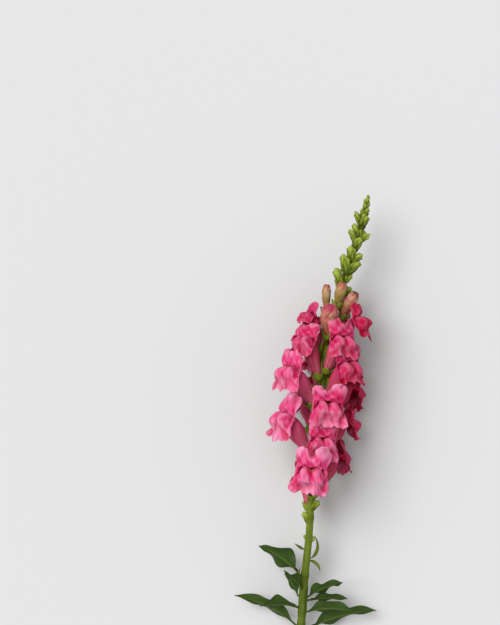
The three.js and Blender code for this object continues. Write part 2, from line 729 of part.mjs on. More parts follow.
const group = new THREE.Group();
group.name = 'snapdragon_stem';
group.position.set(-ORIGIN_ACROSS, -ORIGIN_ALONG, -ORIGIN_RISE);
group.add(piece('stem', stemGeometry(), COLOURS.stem, LEAF_ROUGHNESS));
BLOOMS.forEach((bloom, index) => {
  const geometry = bloomGeometry({ open: 1, ...bloom, seed: BLOOM_SEED + index });
  group.add(flowerPiece(numbered('bloom', index), geometry, bloom, COLOURS.bloom));
});
BUDS.forEach((bud, index) => {
  const geometry = budGeometry({ open: 0, ...bud, seed: BUD_SEED + index });
  group.add(flowerPiece(numbered('bud', index), geometry, bud, COLOURS.bud));
});
LEAVES.forEach((leaf, index) => {
  const name = numbered('leaf', index);
  const frame = placeOn(leaf.height, leaf.bearing);
  frame.multiply(new THREE.Matrix4().makeTranslation(0, 0, stemRadius(leaf.height) + LEAF_SEAT));
  const geometry = leafGeometry({ ...leaf, seed: LEAF_SEED + index }).applyMatrix4(frame);
  group.add(piece(name, geometry, COLOURS.leaf, LEAF_ROUGHNESS));
});

export default group;
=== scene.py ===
"""A cut snapdragon stem, Antirrhinum majus, in its finished look.

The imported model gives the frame: metres, +Z up, with the stem lying along +Y. Every piece
here is a finer form of one of its nodes and is worked out from the same lines in
millimetres: the stem's line, the rings of a bloom's tube and the lines of its lips.
"""

import logging
import math
from collections.abc import Sequence
from dataclasses import dataclass, field
from enum import Enum, IntEnum

import bpy
import numpy as np
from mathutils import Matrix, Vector


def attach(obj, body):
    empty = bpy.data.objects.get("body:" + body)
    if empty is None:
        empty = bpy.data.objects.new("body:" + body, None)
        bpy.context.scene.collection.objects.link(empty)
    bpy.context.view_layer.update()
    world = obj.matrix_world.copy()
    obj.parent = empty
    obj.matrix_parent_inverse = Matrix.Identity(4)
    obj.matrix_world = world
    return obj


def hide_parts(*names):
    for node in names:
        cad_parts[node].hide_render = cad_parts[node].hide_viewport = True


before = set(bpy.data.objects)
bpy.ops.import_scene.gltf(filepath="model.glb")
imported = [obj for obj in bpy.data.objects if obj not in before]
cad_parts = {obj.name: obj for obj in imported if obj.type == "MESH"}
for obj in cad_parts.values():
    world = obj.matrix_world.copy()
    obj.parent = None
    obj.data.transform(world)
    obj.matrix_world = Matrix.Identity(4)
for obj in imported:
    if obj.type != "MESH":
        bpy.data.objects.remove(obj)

Array = np.ndarray
Colour = tuple[float, float, float, float]
Range = tuple[float, float]
Place = tuple[float, float, float]
Tint = tuple[float, float, float]
Socket = bpy.types.NodeSocket

MM = 0.001
FULL_TURN = 2 * math.pi
log = logging.getLogger("snapdragon")

# The rate and start of draw's sine, and how far it is spread, so that what is left after
# the point looks random.
DRAW_RATE, DRAW_START, DRAW_SPREAD = 12.9898, 4.1414, 43758.5453


# ---------------------------------------------------------------- small maths


def draw(seed: float) -> float:
    """Returns a number from 0 to 1 that looks random and is the same each time for a seed."""
    swing = math.sin(seed * DRAW_RATE + DRAW_START) * DRAW_SPREAD
    return swing - math.floor(swing)


def draw_signed(seed: float) -> float:
    """Returns such a number from -1 to 1."""
    return 2 * draw(seed) - 1


def ease(value: Array | float, low: float, high: float) -> Array:
    """Returns a smooth step of value, from 0 at low to 1 at high."""
    share = np.clip((np.asarray(value, float) - low) / (high - low), 0, 1)
    return share * share * (3 - 2 * share)


def bell(value: Array, centre: Array | float, width: Array | float) -> Array:
    """Returns a bell curve of value, 1 at its centre."""
    return np.exp(-(((value - centre) / width) ** 2))


@dataclass(frozen=True)
class Rise:
    """A smooth step along some measure, from 0 at low up to its height at high."""

    low: float
    high: float
    height: float = 1.0

    def at(self, value: Array | float) -> Array:
        """Returns the step's height at a value."""
        return self.height * ease(value, self.low, self.high)


@dataclass(frozen=True)
class Hill:
    """A bell curve along some measure, with its height at its centre."""

    centre: float
    width: float
    height: float = 1.0

    def at(self, value: Array) -> Array:
        """Returns the curve's height at a value."""
        return self.height * bell(value, self.centre, self.width)


def smooth_weights(t: Array) -> Array:
    """The weights of a smooth curve through four points, between the second and the third.

    Args:
        t: How far the place is from the second point to the third, from 0 to 1.

    Returns:
        The four weights.
    """
    return np.array([
        0.5 * (-t + 2 * t**2 - t**3),
        0.5 * (2 - 5 * t**2 + 3 * t**3),
        0.5 * (t + 4 * t**2 - 3 * t**3),
        0.5 * (-(t**2) + t**3),
    ])


def smooth_list(values: Sequence[float], place: Array | float) -> Array:
    """A smooth curve through numbers that stand at even steps.

    Args:
        values: The numbers.
        place: Where to read the curve, in steps.

    Returns:
        The curve's numbers at those places.
    """
    given = np.asarray(values, float)
    first = 2 * given[0] - given[1]
    last = 2 * given[-1] - given[-2]
    padded = np.concatenate([[first, first], given, [last, last]])
    spots = np.asarray(place, float)
    at = np.minimum(np.floor(spots).astype(int), len(given) - 2)
    weights = smooth_weights(spots - at)
    return sum(weights[k] * padded[np.clip(at + 1 + k, 0, len(padded) - 1)] for k in range(4))


def together(*parts: Array | float) -> Array:
    """Returns numbers, brought to one shape, as the last axis of one array."""
    return np.stack(np.broadcast_arrays(*parts), axis=-1)


def around(count: int) -> Array:
    """Returns angles at even steps round a full turn."""
    return np.linspace(0, FULL_TURN, count, endpoint=False)


def ring_flow(angle: Array, along: Array) -> Array:
    """Returns the flow of a round piece from the angle round it and the way along it."""
    return together(np.sin(angle), np.cos(angle), along)


def unit(vectors: Array) -> Array:
    """Returns vectors scaled to length 1, and zero vectors as they are."""
    return vectors / np.maximum(np.linalg.norm(vectors, axis=-1, keepdims=True), 1e-12)


def rotation(axis: int, degrees: float) -> Array:
    """A turn about one of the axes.

    Args:
        axis: 0, 1 or 2, for x, y or z.
        degrees: The angle.

    Returns:
        The 4x4 matrix.
    """
    cosine, sine = math.cos(math.radians(degrees)), math.sin(math.radians(degrees))
    matrix = np.eye(4)
    i, j = (axis + 1) % 3, (axis + 2) % 3
    matrix[i, i] = matrix[j, j] = cosine
    matrix[j, i], matrix[i, j] = sine, -sine
    return matrix


def translation(x: float, y: float, z: float) -> Array:
    """Returns the 4x4 matrix of a move."""
    matrix = np.eye(4)
    matrix[:3, 3] = x, y, z
    return matrix


def scaling(size: float) -> Array:
    """Returns the 4x4 matrix of an even change of size."""
    return np.diag([size, size, size, 1.0])


def placed(points: Array, matrix: Array) -> Array:
    """Returns points carried by a 4x4 matrix."""
    return points @ matrix[:3, :3].T + matrix[:3, 3]


# ---------------------------------------------------------------- shapes


class Shape:
    """Points and faces of one piece, with the numbers that its finish reads.

    flow holds a place across and along the piece, for streaks and veins, and tint and mark
    hold three shares each, which every finish names for itself.
    """

    def __init__(self) -> None:
        """Starts with no points."""
        self.points: list[Array] = []
        self.faces: list[Array] = []
        self.values: dict[str, list[Array]] = {"flow": [], "tint": [], "mark": []}
        self.count = 0

    def add_points(self, points: Array, **values: Array) -> Array:
        """Adds points and their values.

        Args:
            points: The points, in millimetres, as an array of any shape that ends in 3.
            **values: Any of flow, tint and mark, each an array that fits the points.

        Returns:
            The new points' numbers, in the shape of the array.
        """
        flat = points.reshape(-1, 3)
        numbers = np.arange(self.count, self.count + len(flat)).reshape(points.shape[:-1])
        self.points.append(flat)
        for name, kept in self.values.items():
            value = values.get(name, np.zeros(3))
            kept.append(np.broadcast_to(value, points.shape).reshape(-1, 3))
        self.count += len(flat)
        return numbers

    def join_rows(self, numbers: Array, ring: bool, turned: bool = False) -> None:
        """Adds the faces between neighbouring rows of points.

        Args:
            numbers: The points' numbers, one row after another.
            ring: Whether each row closes on itself.
            turned: Whether the faces look the other way.
        """
        after = np.roll(numbers, -1, axis=1) if ring else numbers[:, 1:]
        here = numbers if ring else numbers[:, :-1]
        quads = together(here[:-1], after[:-1], after[1:], here[1:]).reshape(-1, 4)
        self.faces.append(quads[:, ::-1] if turned else quads)

    def close_ring(self, row: Array, centre: int, turned: bool = False) -> None:
        """Adds the faces between a closed row of points and one point."""
        fan = together(row, centre, np.roll(row, -1))
        self.faces.append(fan[:, ::-1] if turned else fan)

    def join_tube(self, rows: Array, foot: Array, tip: Array, turned: bool = False) -> None:
        """Adds the faces of a tube of closed rows and of its two ends.

        Args:
            rows: The points' numbers, one closed row after another.
            foot: The number of the point that closes the first row, in an array of one.
            tip: The same for the last row.
            turned: Whether the faces look the other way.
        """
        self.join_rows(rows, ring=True, turned=turned)
        self.close_ring(rows[0], int(foot[0]), turned=turned)
        self.close_ring(rows[-1], int(tip[0]), turned=not turned)

    def join_slab(self, upper: Array, lower: Array) -> None:
        """Adds the faces of a thin slab: its two sides, its edges and its two ends."""
        self.join_rows(np.hstack([upper, lower[:, ::-1]]), ring=True, turned=True)
        self.join_rows(np.vstack([upper[-1:], lower[-1:]]), ring=False, turned=True)
        self.join_rows(np.vstack([lower[:1], upper[:1]]), ring=False, turned=True)

    def built(self, name: str, finish: bpy.types.Material) -> bpy.types.Object:
        """Puts the shape in the scene, in metres.

        Args:
            name: The object's name.
            finish: Its material.

        Returns:
            The object.
        """
        mesh = bpy.data.meshes.new(name)
        faces = [face for group in self.faces for face in group.tolist()]
        mesh.from_pydata((np.concatenate(self.points) * MM).tolist(), [], faces)
        for key, kept in self.values.items():
            layer = mesh.attributes.new(key, "FLOAT_VECTOR", "POINT")
            layer.data.foreach_set("vector", np.concatenate(kept).astype(np.float32).ravel())
        mesh.shade_smooth()
        mesh.materials.append(finish)
        made = bpy.data.objects.new(name, mesh)
        bpy.context.scene.collection.objects.link(made)
        return made


def normals_of(grid: Array, ring: bool) -> Array:
    """Returns the normals of a grid of points, across its columns and then along its rows."""
    if ring:
        across = np.roll(grid, -1, axis=1) - np.roll(grid, 1, axis=1)
    else:
        across = np.gradient(grid, axis=1)
    return unit(np.cross(across, np.gradient(grid, axis=0)))


# ---------------------------------------------------------------- the stem's line


@dataclass(frozen=True)
class StemLine:
    """The middle line of the stem, and the frames of the places on it."""

    length: float = 408.0
    base_radius: float = 3.3
    tip_radius: float = 0.9
    taper: float = 1.6
    step: float = 34.0
    across: tuple[float, ...] = (-12.5, -9.5, -6.5, -4, -0.5, 1.5, 5, 8, 11, 17.5, 28, 39, 46.5)
    rise: tuple[float, ...] = (3.4, 9, 15, 21, 27, 31.8, 34.4, 35.4, 36.0, 37.2, 38.8, 40.4, 42.2)
    origin: Place = (-3.5, 202.8, 0.1)

    def point(self, height: Array | float) -> Array:
        """Returns the line's point at a height."""
        place = np.asarray(height, float) / self.step
        spot = together(smooth_list(self.across, place), height, smooth_list(self.rise, place))
        return spot - np.array(self.origin)

    def radius(self, height: Array | float) -> Array:
        """Returns the stem's radius at a height."""
        share = (np.maximum(height, 0) / self.length) ** self.taper
        return self.base_radius + (self.tip_radius - self.base_radius) * share

    def place(self, height: float, bearing: float) -> Array:
        """The frame of a place on the stem.

        Args:
            height: The distance along +Y from the cut.
            bearing: The angle round the stem, 0 at the top and 90 on its +X side.

        Returns:
            A 4x4 matrix: x to the side, y up the stem and z out at the bearing.
        """
        up = unit(self.point(height + 1) - self.point(height - 1))
        top = unit(np.array([0, 0, 1.0]) - up * up[2])
        right = np.cross(up, top)
        angle = math.radians(bearing)
        out = top * math.cos(angle) + right * math.sin(angle)
        matrix = np.eye(4)
        matrix[:3, 0], matrix[:3, 1], matrix[:3, 2] = np.cross(up, out), up, out
        matrix[:3, 3] = self.point(height)
        return matrix


LINE = StemLine()


# ---------------------------------------------------------------- the form of one flower


@dataclass(frozen=True)
class Ring:
    """One ring of a bloom's tube: its middle up and out, its lean, and its half sizes."""

    up: float
    out: float
    lean: float
    high: float
    wide: float

    def point(self, angle: float, plump: float) -> Array:
        """One point of the ring.

        Args:
            angle: The angle round the ring from its upper side, in degrees.
            plump: What its half sizes are multiplied by.

        Returns:
            The point, as [side, up, out].
        """
        rise = math.cos(math.radians(angle)) * self.high * plump
        return np.array([
            math.sin(math.radians(angle)) * self.wide * plump,
            self.up + rise * math.cos(math.radians(self.lean)),
            self.out - rise * math.sin(math.radians(self.lean)),
        ])


@dataclass(frozen=True)
class Lip:
    """One line of the open lips, as [side, up, out]: mouth, turn, swell, waist and edge."""

    angle: float
    stray: float
    line: tuple[Place, ...]


RINGS = (
    Ring(0.5, 0.3, 58, 2.1, 2.1),
    Ring(4.2, 2.7, 57, 3.9, 4.0),
    Ring(10.2, 6.9, 52, 4.5, 4.9),
    Ring(17.4, 12.8, 50, 6.2, 6.8),
    Ring(21.8, 16.0, 50, 5.8, 6.6),
    Ring(24.8, 18.3, 51, 5.5, 6.3),
    Ring(27.2, 20.1, 52, 4.7, 5.5),
    Ring(29.4, 21.6, 54, 3.4, 4.1),
    Ring(31.2, 22.8, 56, 1.4, 1.8),
)
NOTCH = Lip(0, 0.7, (
    (0, 29.8, 17.2), (0, 31.2, 23.4), (0, 33.4, 25.2), (0, 36.6, 25.6), (0, 40.8, 24.0),
))
EAR = Lip(32, 1, (
    (4.2, 29.4, 17.6), (4.8, 31.0, 23.6), (5.3, 34.0, 25.6), (5.9, 38.4, 25.4), (6.6, 42.6, 22.6),
))
SHOULDER = Lip(62, 0.9, (
    (6.8, 28.2, 17.8), (8.2, 29.5, 21.8), (9.0, 31.8, 23.2), (10.2, 35.2, 22.6), (11.8, 38.6, 19.8),
))
CORNER = Lip(92, 0.3, (
    (7.2, 26.4, 18.2), (8.5, 26.9, 20.4), (9.3, 27.0, 21.4), (10.3, 27.2, 22.2), (11.6, 27.4, 22.8),
))
WING = Lip(118, 0.75, (
    (6.4, 25.6, 19.2), (8.4, 26.0, 23.8), (10.2, 22.8, 26.8), (11.6, 18.6, 26.4), (14.8, 15.4, 27.2),
))
HUMP = Lip(148, 0.8, (
    (3.8, 27.2, 20.0), (5.2, 29.4, 26.8), (6.4, 24.8, 32.0), (6.6, 18.0, 29.0), (9.2, 11.6, 31.1),
))
KEEL = Lip(180, 1, (
    (0, 26.4, 19.6), (0, 28.2, 26.0), (0, 24.2, 30.6), (0, 17.4, 28.8), (0, 8.6, 31.3),
))
LIPS = (NOTCH, EAR, SHOULDER, CORNER, WING, HUMP, KEEL)

# Columns are counted round a flower, from the notch to the keel and back, and rows are
# counted along it, one to a ring.
HALF_ROUND = len(LIPS) - 1
ROUND = 2 * HALF_ROUND
LAST_RING = len(RINGS) - 1

# The last ring of the tube, beyond which the lips' lines are followed.
THROAT = 3

# The rings before this one keep their size in a plump flower, so that they fit its calyx.
PLUMP_FROM = 2

# How far at most each ring's points stray by chance, and the share of that to the side.
STRAY = (0, 0, 0, 0, 0, 0.3, 0.5, 1.1, 1.9)
STRAY_TO_SIDE = 0.6

# What a flower's seed, a column and a ring are multiplied by, to draw how a point strays.
SEED_KEY, COLUMN_KEY, RING_KEY = 97, 13, 5

# What a lobe's number is multiplied by, to draw how it differs from the others.
LOBE_KEY = 11

# How far the streaks of a flower are shifted from those of the one with the next seed.
FLOW_STEP = 3.7


@dataclass(frozen=True)
class Flower:
    """One bloom or bud: where it stands on the stem, how it is turned and how far it is open.

    calyx is its cup's own size, where that isn't the flower's, and reach and lift say how far
    its stalk goes out from the stem's line and up along it.
    """

    height: float
    bearing: float
    size: float
    lean: float = 0.0
    turn: float = 0.0
    open: float = 1.0
    plump: float = 1.0
    calyx: float = 0.0
    reach: float = 6.5
    lift: float = 5.0

    def frame(self) -> Array:
        """Returns the flower's own frame, at the top of its stalk, as a 4x4 matrix."""
        moved = LINE.place(self.height, self.bearing) @ translation(0, self.lift, self.reach)
        return moved @ rotation(0, self.lean) @ rotation(1, self.turn)

    def net(self, seed: int) -> Array:
        """The flower's control net.

        Args:
            seed: What its stray points are drawn by.

        Returns:
            A row of points round the flower for each ring.
        """
        net = np.zeros((LAST_RING + 1, ROUND, 3))
        for at, ring in enumerate(RINGS):
            for column in range(ROUND):
                mirrored = column > HALF_ROUND
                lip = LIPS[ROUND - column if mirrored else column]
                point = ring.point(lip.angle, 1 if at < PLUMP_FROM else self.plump)
                if at > THROAT:
                    point += (np.array(lip.line[at - THROAT - 1]) - point) * self.open
                if mirrored:
                    point[0] *= -1
                reach = self.open**2 * lip.stray * STRAY[at]
                key = SEED_KEY * seed + COLUMN_KEY * column + RING_KEY * at
                draws = [draw_signed(key + axis) for axis in range(3)]
                net[at, column] = point + reach * np.array([STRAY_TO_SIDE, 1, 1]) * draws
        return net


def net_surface(net: Array, columns: Array, rows: Array) -> Array:
    """A smooth surface through a control net whose columns close into a ring.

    Args:
        net: The control points, rows by columns.
        columns: Where to read the surface round the ring.
        rows: Where to read it along the rows, in an array of the same shape.

    Returns:
        The surface's points.
    """
    column_at, row_at = np.floor(columns).astype(int), np.floor(rows).astype(int)
    column_weights = smooth_weights(columns - column_at)
    row_weights = smooth_weights(rows - row_at)
    total = np.zeros((*columns.shape, 3))
    for j in range(4):
        along = np.clip(row_at - 1 + j, 0, len(net) - 1)
        for k in range(4):
            across = (column_at - 1 + k) % net.shape[1]
            total += (row_weights[j] * column_weights[k])[..., None] * net[along, across]
    return total


# ---------------------------------------------------------------- shader wiring


def srgb(code: str) -> Colour:
    """Returns the linear colour of a hex code, by the standard's own curve."""
    shares = [int(code[i : i + 2], 16) / 255 for i in (0, 2, 4)]
    linear = [c / 12.92 if c <= 0.04045 else ((c + 0.055) / 1.055) ** 2.4 for c in shares]
    return (*linear, 1.0)


class Wiring:
    """Adds nodes to one shader tree and joins them."""

    def __init__(self, tree: bpy.types.NodeTree) -> None:
        """Takes the tree to work in."""
        self.tree = tree

    def add(self, kind: str, inputs: dict | None = None, **settings: object) -> bpy.types.Node:
        """Adds a node.

        Args:
            kind: The node's type.
            inputs: For each input's name or number, a value to set or a socket to join.
            **settings: The node's own settings.

        Returns:
            The new node.
        """
        node = self.tree.nodes.new(kind)
        for name, value in settings.items():
            setattr(node, name, value)
        for key, value in (inputs or {}).items():
            if isinstance(value, Socket):
                self.tree.links.new(value, node.inputs[key])
            else:
                node.inputs[key].default_value = value
        return node

    def mix(self, share: Socket | float, first: Socket | Colour, second: Socket | Colour) -> Socket:
        """Returns a blend of two colours."""
        inputs = {0: share, 6: first, 7: second}
        return self.add("ShaderNodeMix", inputs, data_type="RGBA").outputs[2]

    def math(self, operation: str, first: Socket, second: Socket | float) -> Socket:
        """Returns the result of an operation on two numbers, kept from 0 to 1."""
        inputs = {0: first, 1: second}
        return self.add("ShaderNodeMath", inputs, operation=operation, use_clamp=True).outputs[0]

    def spread(self, value: Socket, low: float, high: float) -> Socket:
        """Returns a share from 0 to 1 brought to the range from low to high."""
        inputs = {"Value": value, "To Min": low, "To Max": high}
        return self.add("ShaderNodeMapRange", inputs).outputs[0]

    def between(self, value: Socket, low: float, high: float) -> Socket:
        """Returns how far a value is on its way from low to high, as a share from 0 to 1."""
        inputs = {"Value": value, "From Min": low, "From Max": high}
        return self.add("ShaderNodeMapRange", inputs).outputs[0]

    def lay(
        self, under: Socket | Colour, over: Colour, share: Socket, mask: Socket, limits: Range
    ) -> Socket:
        """Lays one colour over another by a share that varies with a mask.

        Args:
            under: The colour below.
            over: The colour laid on it.
            share: How much of it is laid on.
            mask: What varies the share.
            limits: What the share is multiplied by where the mask is 0 and where it is 1.

        Returns:
            The blend.
        """
        return self.mix(self.math("MULTIPLY", share, self.spread(mask, *limits)), under, over)

    def relief(self, first: Socket, second: Socket, share: float) -> Socket:
        """Returns a relief made of two, with the share of the first one."""
        return self.math("ADD", self.spread(first, 0.0, share), self.spread(second, 0.0, 1 - share))

    def shares(self, name: str) -> list[Socket]:
        """Returns the three numbers of one of the mesh's attributes."""
        vector = self.add("ShaderNodeAttribute", attribute_name=name).outputs["Vector"]
        return list(self.add("ShaderNodeSeparateXYZ", {0: vector}).outputs)

    def group(self, tree: bpy.types.NodeTree, **inputs: float) -> Socket:
        """Returns the first output of a node group that is placed with its own values."""
        node = self.add("ShaderNodeGroup", node_tree=tree)
        for name, value in inputs.items():
            node.inputs[name.capitalize()].default_value = value
        return node.outputs[0]


def start_group(
    name: str, inputs: dict[str, float], output: str
) -> tuple[Wiring, dict[str, Socket], bpy.types.Node]:
    """Starts a node group that puts out one mask.

    Args:
        name: The group's name.
        inputs: Its inputs and their usual values.
        output: The name of its output.

    Returns:
        The wiring of its tree, its input sockets by name, and its output node.
    """
    tree = bpy.data.node_groups.new(name, "ShaderNodeTree")
    for key, value in inputs.items():
        socket = tree.interface.new_socket(key, in_out="INPUT", socket_type="NodeSocketFloat")
        socket.default_value = value
    tree.interface.new_socket(output, in_out="OUTPUT", socket_type="NodeSocketFloat")
    wiring = Wiring(tree)
    source = wiring.add("NodeGroupInput")
    return wiring, {key: source.outputs[key] for key in inputs}, wiring.add("NodeGroupOutput")


# The values of a noise at which a streak or a patch starts and is full.
STREAK_EDGES = (0.36, 0.64)
PATCH_EDGES = (0.34, 0.66)


def streaks_group() -> bpy.types.NodeTree:
    """Returns the group of fine streaks that run along a petal, a leaf or the stem."""
    wiring, given, output = start_group("streaks", {"Across": 9.0, "Along": 0.5}, "Streak")
    flow = wiring.add("ShaderNodeAttribute", attribute_name="flow").outputs["Vector"]
    inputs = {0: given["Across"], 1: given["Across"], 2: given["Along"]}
    stretch = wiring.add("ShaderNodeCombineXYZ", inputs)
    inputs = {0: flow, 1: stretch.outputs[0]}
    place = wiring.add("ShaderNodeVectorMath", inputs, operation="MULTIPLY").outputs[0]
    noise = wiring.add("ShaderNodeTexNoise", {"Vector": place, "Scale": 1.0, "Detail": 3.0})
    share = wiring.between(noise.outputs["Fac"], *STREAK_EDGES)
    wiring.tree.links.new(share, output.inputs[0])
    return wiring.tree


def mottle_group() -> bpy.types.NodeTree:
    """Returns the group of soft patches, whose scale counts patches in a metre."""
    wiring, given, output = start_group("mottle", {"Scale": 40.0, "Detail": 3.0}, "Patch")
    place = wiring.add("ShaderNodeTexCoord").outputs["Object"]
    inputs = {"Vector": place, "Scale": given["Scale"], "Detail": given["Detail"]}
    noise = wiring.add("ShaderNodeTexNoise", inputs)
    share = wiring.between(noise.outputs["Fac"], *PATCH_EDGES)
    wiring.tree.links.new(share, output.inputs[0])
    return wiring.tree


@dataclass
class Effects:
    """The node groups that several finishes use."""

    streaks: bpy.types.NodeTree = field(default_factory=streaks_group)
    mottle: bpy.types.NodeTree = field(default_factory=mottle_group)


@dataclass(frozen=True)
class Surface:
    """The plain numbers of one finish's shader."""

    roughness: Range
    bump: float
    bump_depth: float
    sheen: float
    specular: float
    through: float
    sheen_roughness: float = 0.4

    def wire(
        self, wiring: Wiring, colour: Socket, patch: Socket, height: Socket, glow: Socket
    ) -> None:
        """Joins a finish's colour and relief to the material's output.

        Args:
            wiring: The wiring of the material's tree.
            colour: The surface's colour.
            patch: A share that varies the roughness.
            height: The relief.
            glow: The colour of the light that comes through.
        """
        bump = wiring.add("ShaderNodeBump", {"Height": height})
        bump.inputs["Strength"].default_value = self.bump
        bump.inputs["Distance"].default_value = self.bump_depth * MM
        inputs = {"Base Color": colour, "Normal": bump.outputs[0]}
        shader = wiring.add("ShaderNodeBsdfPrincipled", inputs)
        wiring.tree.links.new(wiring.spread(patch, *self.roughness), shader.inputs["Roughness"])
        shader.inputs["Sheen Weight"].default_value = self.sheen
        shader.inputs["Sheen Roughness"].default_value = self.sheen_roughness
        shader.inputs["Specular IOR Level"].default_value = self.specular
        through = wiring.add("ShaderNodeBsdfTranslucent", {"Color": glow, "Normal": bump.outputs[0]})
        inputs = {0: self.through, 1: shader.outputs[0], 2: through.outputs[0]}
        both = wiring.add("ShaderNodeMixShader", inputs)
        out = wiring.add("ShaderNodeOutputMaterial")
        wiring.tree.links.new(both.outputs[0], out.inputs["Surface"])


def start_material(name: str) -> tuple[bpy.types.Material, Wiring]:
    """Returns a new empty material and the wiring of its tree."""
    material = bpy.data.materials.new(name)
    material.use_nodes = True
    material.node_tree.nodes.clear()
    return material, Wiring(material.node_tree)


# ---------------------------------------------------------------- the finishes


@dataclass(frozen=True)
class PetalFinish:
    """A bloom's petals: pink, darkened in the folds and the throat as painted shade, dusty on the tube, with
    fine veins.

    tint holds the shares of pale, deep and tube, and mark those of warm, rim and inside. Deep is painted
    shade, with some darkening of older blooms, and pale holds a painted highlight on the crests.
    """

    pink: Colour = srgb("DC2668")
    rose: Colour = srgb("E84C8E")
    deep: Colour = srgb("AA0226")
    pale: Colour = srgb("F9B2D6")
    tube: Colour = srgb("DA5E88")
    cream: Colour = srgb("EEA8A4")
    warm: Colour = srgb("E8784A")
    pale_range: Range = (0.45, 1.0)
    cream_range: Range = (0.0, 0.55)
    vein_range: Range = (0.0, 0.32)
    tube_range: Range = (0.7, 1.0)
    deep_range: Range = (0.75, 1.0)
    rim_range: Range = (0.3, 0.9)
    vein_relief: float = 0.7
    surface: Surface = Surface((0.42, 0.62), 0.45, 0.25, 0.0, 0.06, 0.32)

    def made(self, effects: Effects) -> bpy.types.Material:
        """The finish as a material.

        Args:
            effects: The node groups that the finishes share.

        Returns:
            The material.
        """
        material, wiring = start_material("petal")
        pale, deep, tube = wiring.shares("tint")
        warm, rim, inside = wiring.shares("mark")
        vein = wiring.group(effects.streaks, across=13.0, along=0.55)
        band = wiring.group(effects.streaks, across=3.0, along=0.4)
        tone = wiring.group(effects.mottle, scale=38.0, detail=2.0)
        grain = wiring.group(effects.mottle, scale=900.0, detail=4.0)
        colour = wiring.mix(tone, self.pink, self.rose)
        # The pale share holds a painted highlight on the crests, as well as the paler lips and edges.
        colour = wiring.lay(colour, self.pale, pale, band, self.pale_range)
        dusty = wiring.mix(wiring.spread(band, *self.cream_range), self.tube, self.cream)
        colour = wiring.mix(tube, colour, dusty)
        lines = wiring.spread(vein, *self.vein_range)
        colour = wiring.lay(colour, self.deep, lines, tube, self.tube_range)
        # Painted shade: the deep share darkens the throat, the creases and the hollows, and the blooms set
        # darker.
        colour = wiring.lay(colour, self.deep, deep, tone, self.deep_range)
        colour = wiring.mix(warm, colour, self.warm)
        colour = wiring.lay(colour, self.pale, rim, grain, self.rim_range)
        height = wiring.relief(vein, grain, self.vein_relief)
        glow = wiring.mix(inside, colour, self.deep)
        self.surface.wire(wiring, colour, grain, height, glow)
        return material


@dataclass(frozen=True)
class BudFinish:
    """A coloured bud: tan and dusty pink, yellow-green at its foot, with fine lines.

    tint holds the shares of pink, green and pale, and mark those of fold, tip and nothing.
    """

    tan: Colour = srgb("A2803E")
    pink: Colour = srgb("A62E4A")
    green: Colour = srgb("66781E")
    pale: Colour = srgb("ECD0B2")
    fold: Colour = srgb("963450")
    tip: Colour = srgb("3C4C16")
    pink_range: Range = (0.3, 1.3)
    pale_range: Range = (1.1, 0.1)
    green_range: Range = (0.6, 1.0)
    vein_range: Range = (0.0, 0.3)
    vein_relief: float = 0.7
    surface: Surface = Surface((0.4, 0.58), 0.45, 0.25, 0.04, 0.2, 0.15)

    def made(self, effects: Effects) -> bpy.types.Material:
        """The finish as a material.

        Args:
            effects: The node groups that the finishes share.

        Returns:
            The material.
        """
        material, wiring = start_material("bud")
        pink, green, pale = wiring.shares("tint")
        fold, tip, _ = wiring.shares("mark")
        vein = wiring.group(effects.streaks, across=11.0, along=0.45)
        patch = wiring.group(effects.mottle, scale=170.0, detail=3.0)
        grain = wiring.group(effects.mottle, scale=900.0, detail=4.0)
        colour = wiring.lay(self.tan, self.pink, pink, patch, self.pink_range)
        colour = wiring.lay(colour, self.pale, pale, patch, self.pale_range)
        colour = wiring.lay(colour, self.green, green, vein, self.green_range)
        colour = wiring.mix(wiring.spread(vein, *self.vein_range), colour, self.fold)
        colour = wiring.mix(fold, colour, self.fold)
        colour = wiring.mix(tip, colour, self.tip)
        height = wiring.relief(vein, grain, self.vein_relief)
        self.surface.wire(wiring, colour, grain, height, colour)
        return material


@dataclass(frozen=True)
class GreenFinish:
    """The green skin of the stem, calyces, bracts and green buds, with a soft bloom on it.

    tint holds the shares of young, dark and pale, and mark those of cut, rib and nothing.
    """

    base: Colour = srgb("445808")
    young: Colour = srgb("7C900E")
    dark: Colour = srgb("142204")
    pale: Colour = srgb("A4AC52")
    cut: Colour = srgb("D2D29C")
    patch_range: Range = (0.0, 0.3)
    vein_range: Range = (0.0, 0.28)
    dark_range: Range = (0.65, 1.0)
    pale_range: Range = (0.5, 1.0)
    rib_range: Range = (0.4, 0.8)
    vein_relief: float = 0.5
    surface: Surface = Surface((0.45, 0.65), 0.5, 0.2, 0.0, 0.06, 0.1)

    def made(self, effects: Effects) -> bpy.types.Material:
        """The finish as a material.

        Args:
            effects: The node groups that the finishes share.

        Returns:
            The material.
        """
        material, wiring = start_material("green")
        young, dark, pale = wiring.shares("tint")
        cut, rib, _ = wiring.shares("mark")
        vein = wiring.group(effects.streaks, across=7.0, along=0.12)
        patch = wiring.group(effects.mottle, scale=170.0, detail=3.0)
        grain = wiring.group(effects.mottle, scale=1400.0, detail=4.0)
        colour = wiring.mix(young, self.base, self.young)
        colour = wiring.mix(wiring.spread(patch, *self.patch_range), colour, self.dark)
        colour = wiring.mix(wiring.spread(vein, *self.vein_range), colour, self.pale)
        colour = wiring.lay(colour, self.dark, dark, patch, self.dark_range)
        colour = wiring.lay(colour, self.pale, pale, grain, self.pale_range)
        colour = wiring.lay(colour, self.pale, rib, grain, self.rib_range)
        colour = wiring.mix(cut, colour, self.cut)
        height = wiring.relief(vein, grain, self.vein_relief)
        self.surface.wire(wiring, colour, patch, height, colour)
        return material


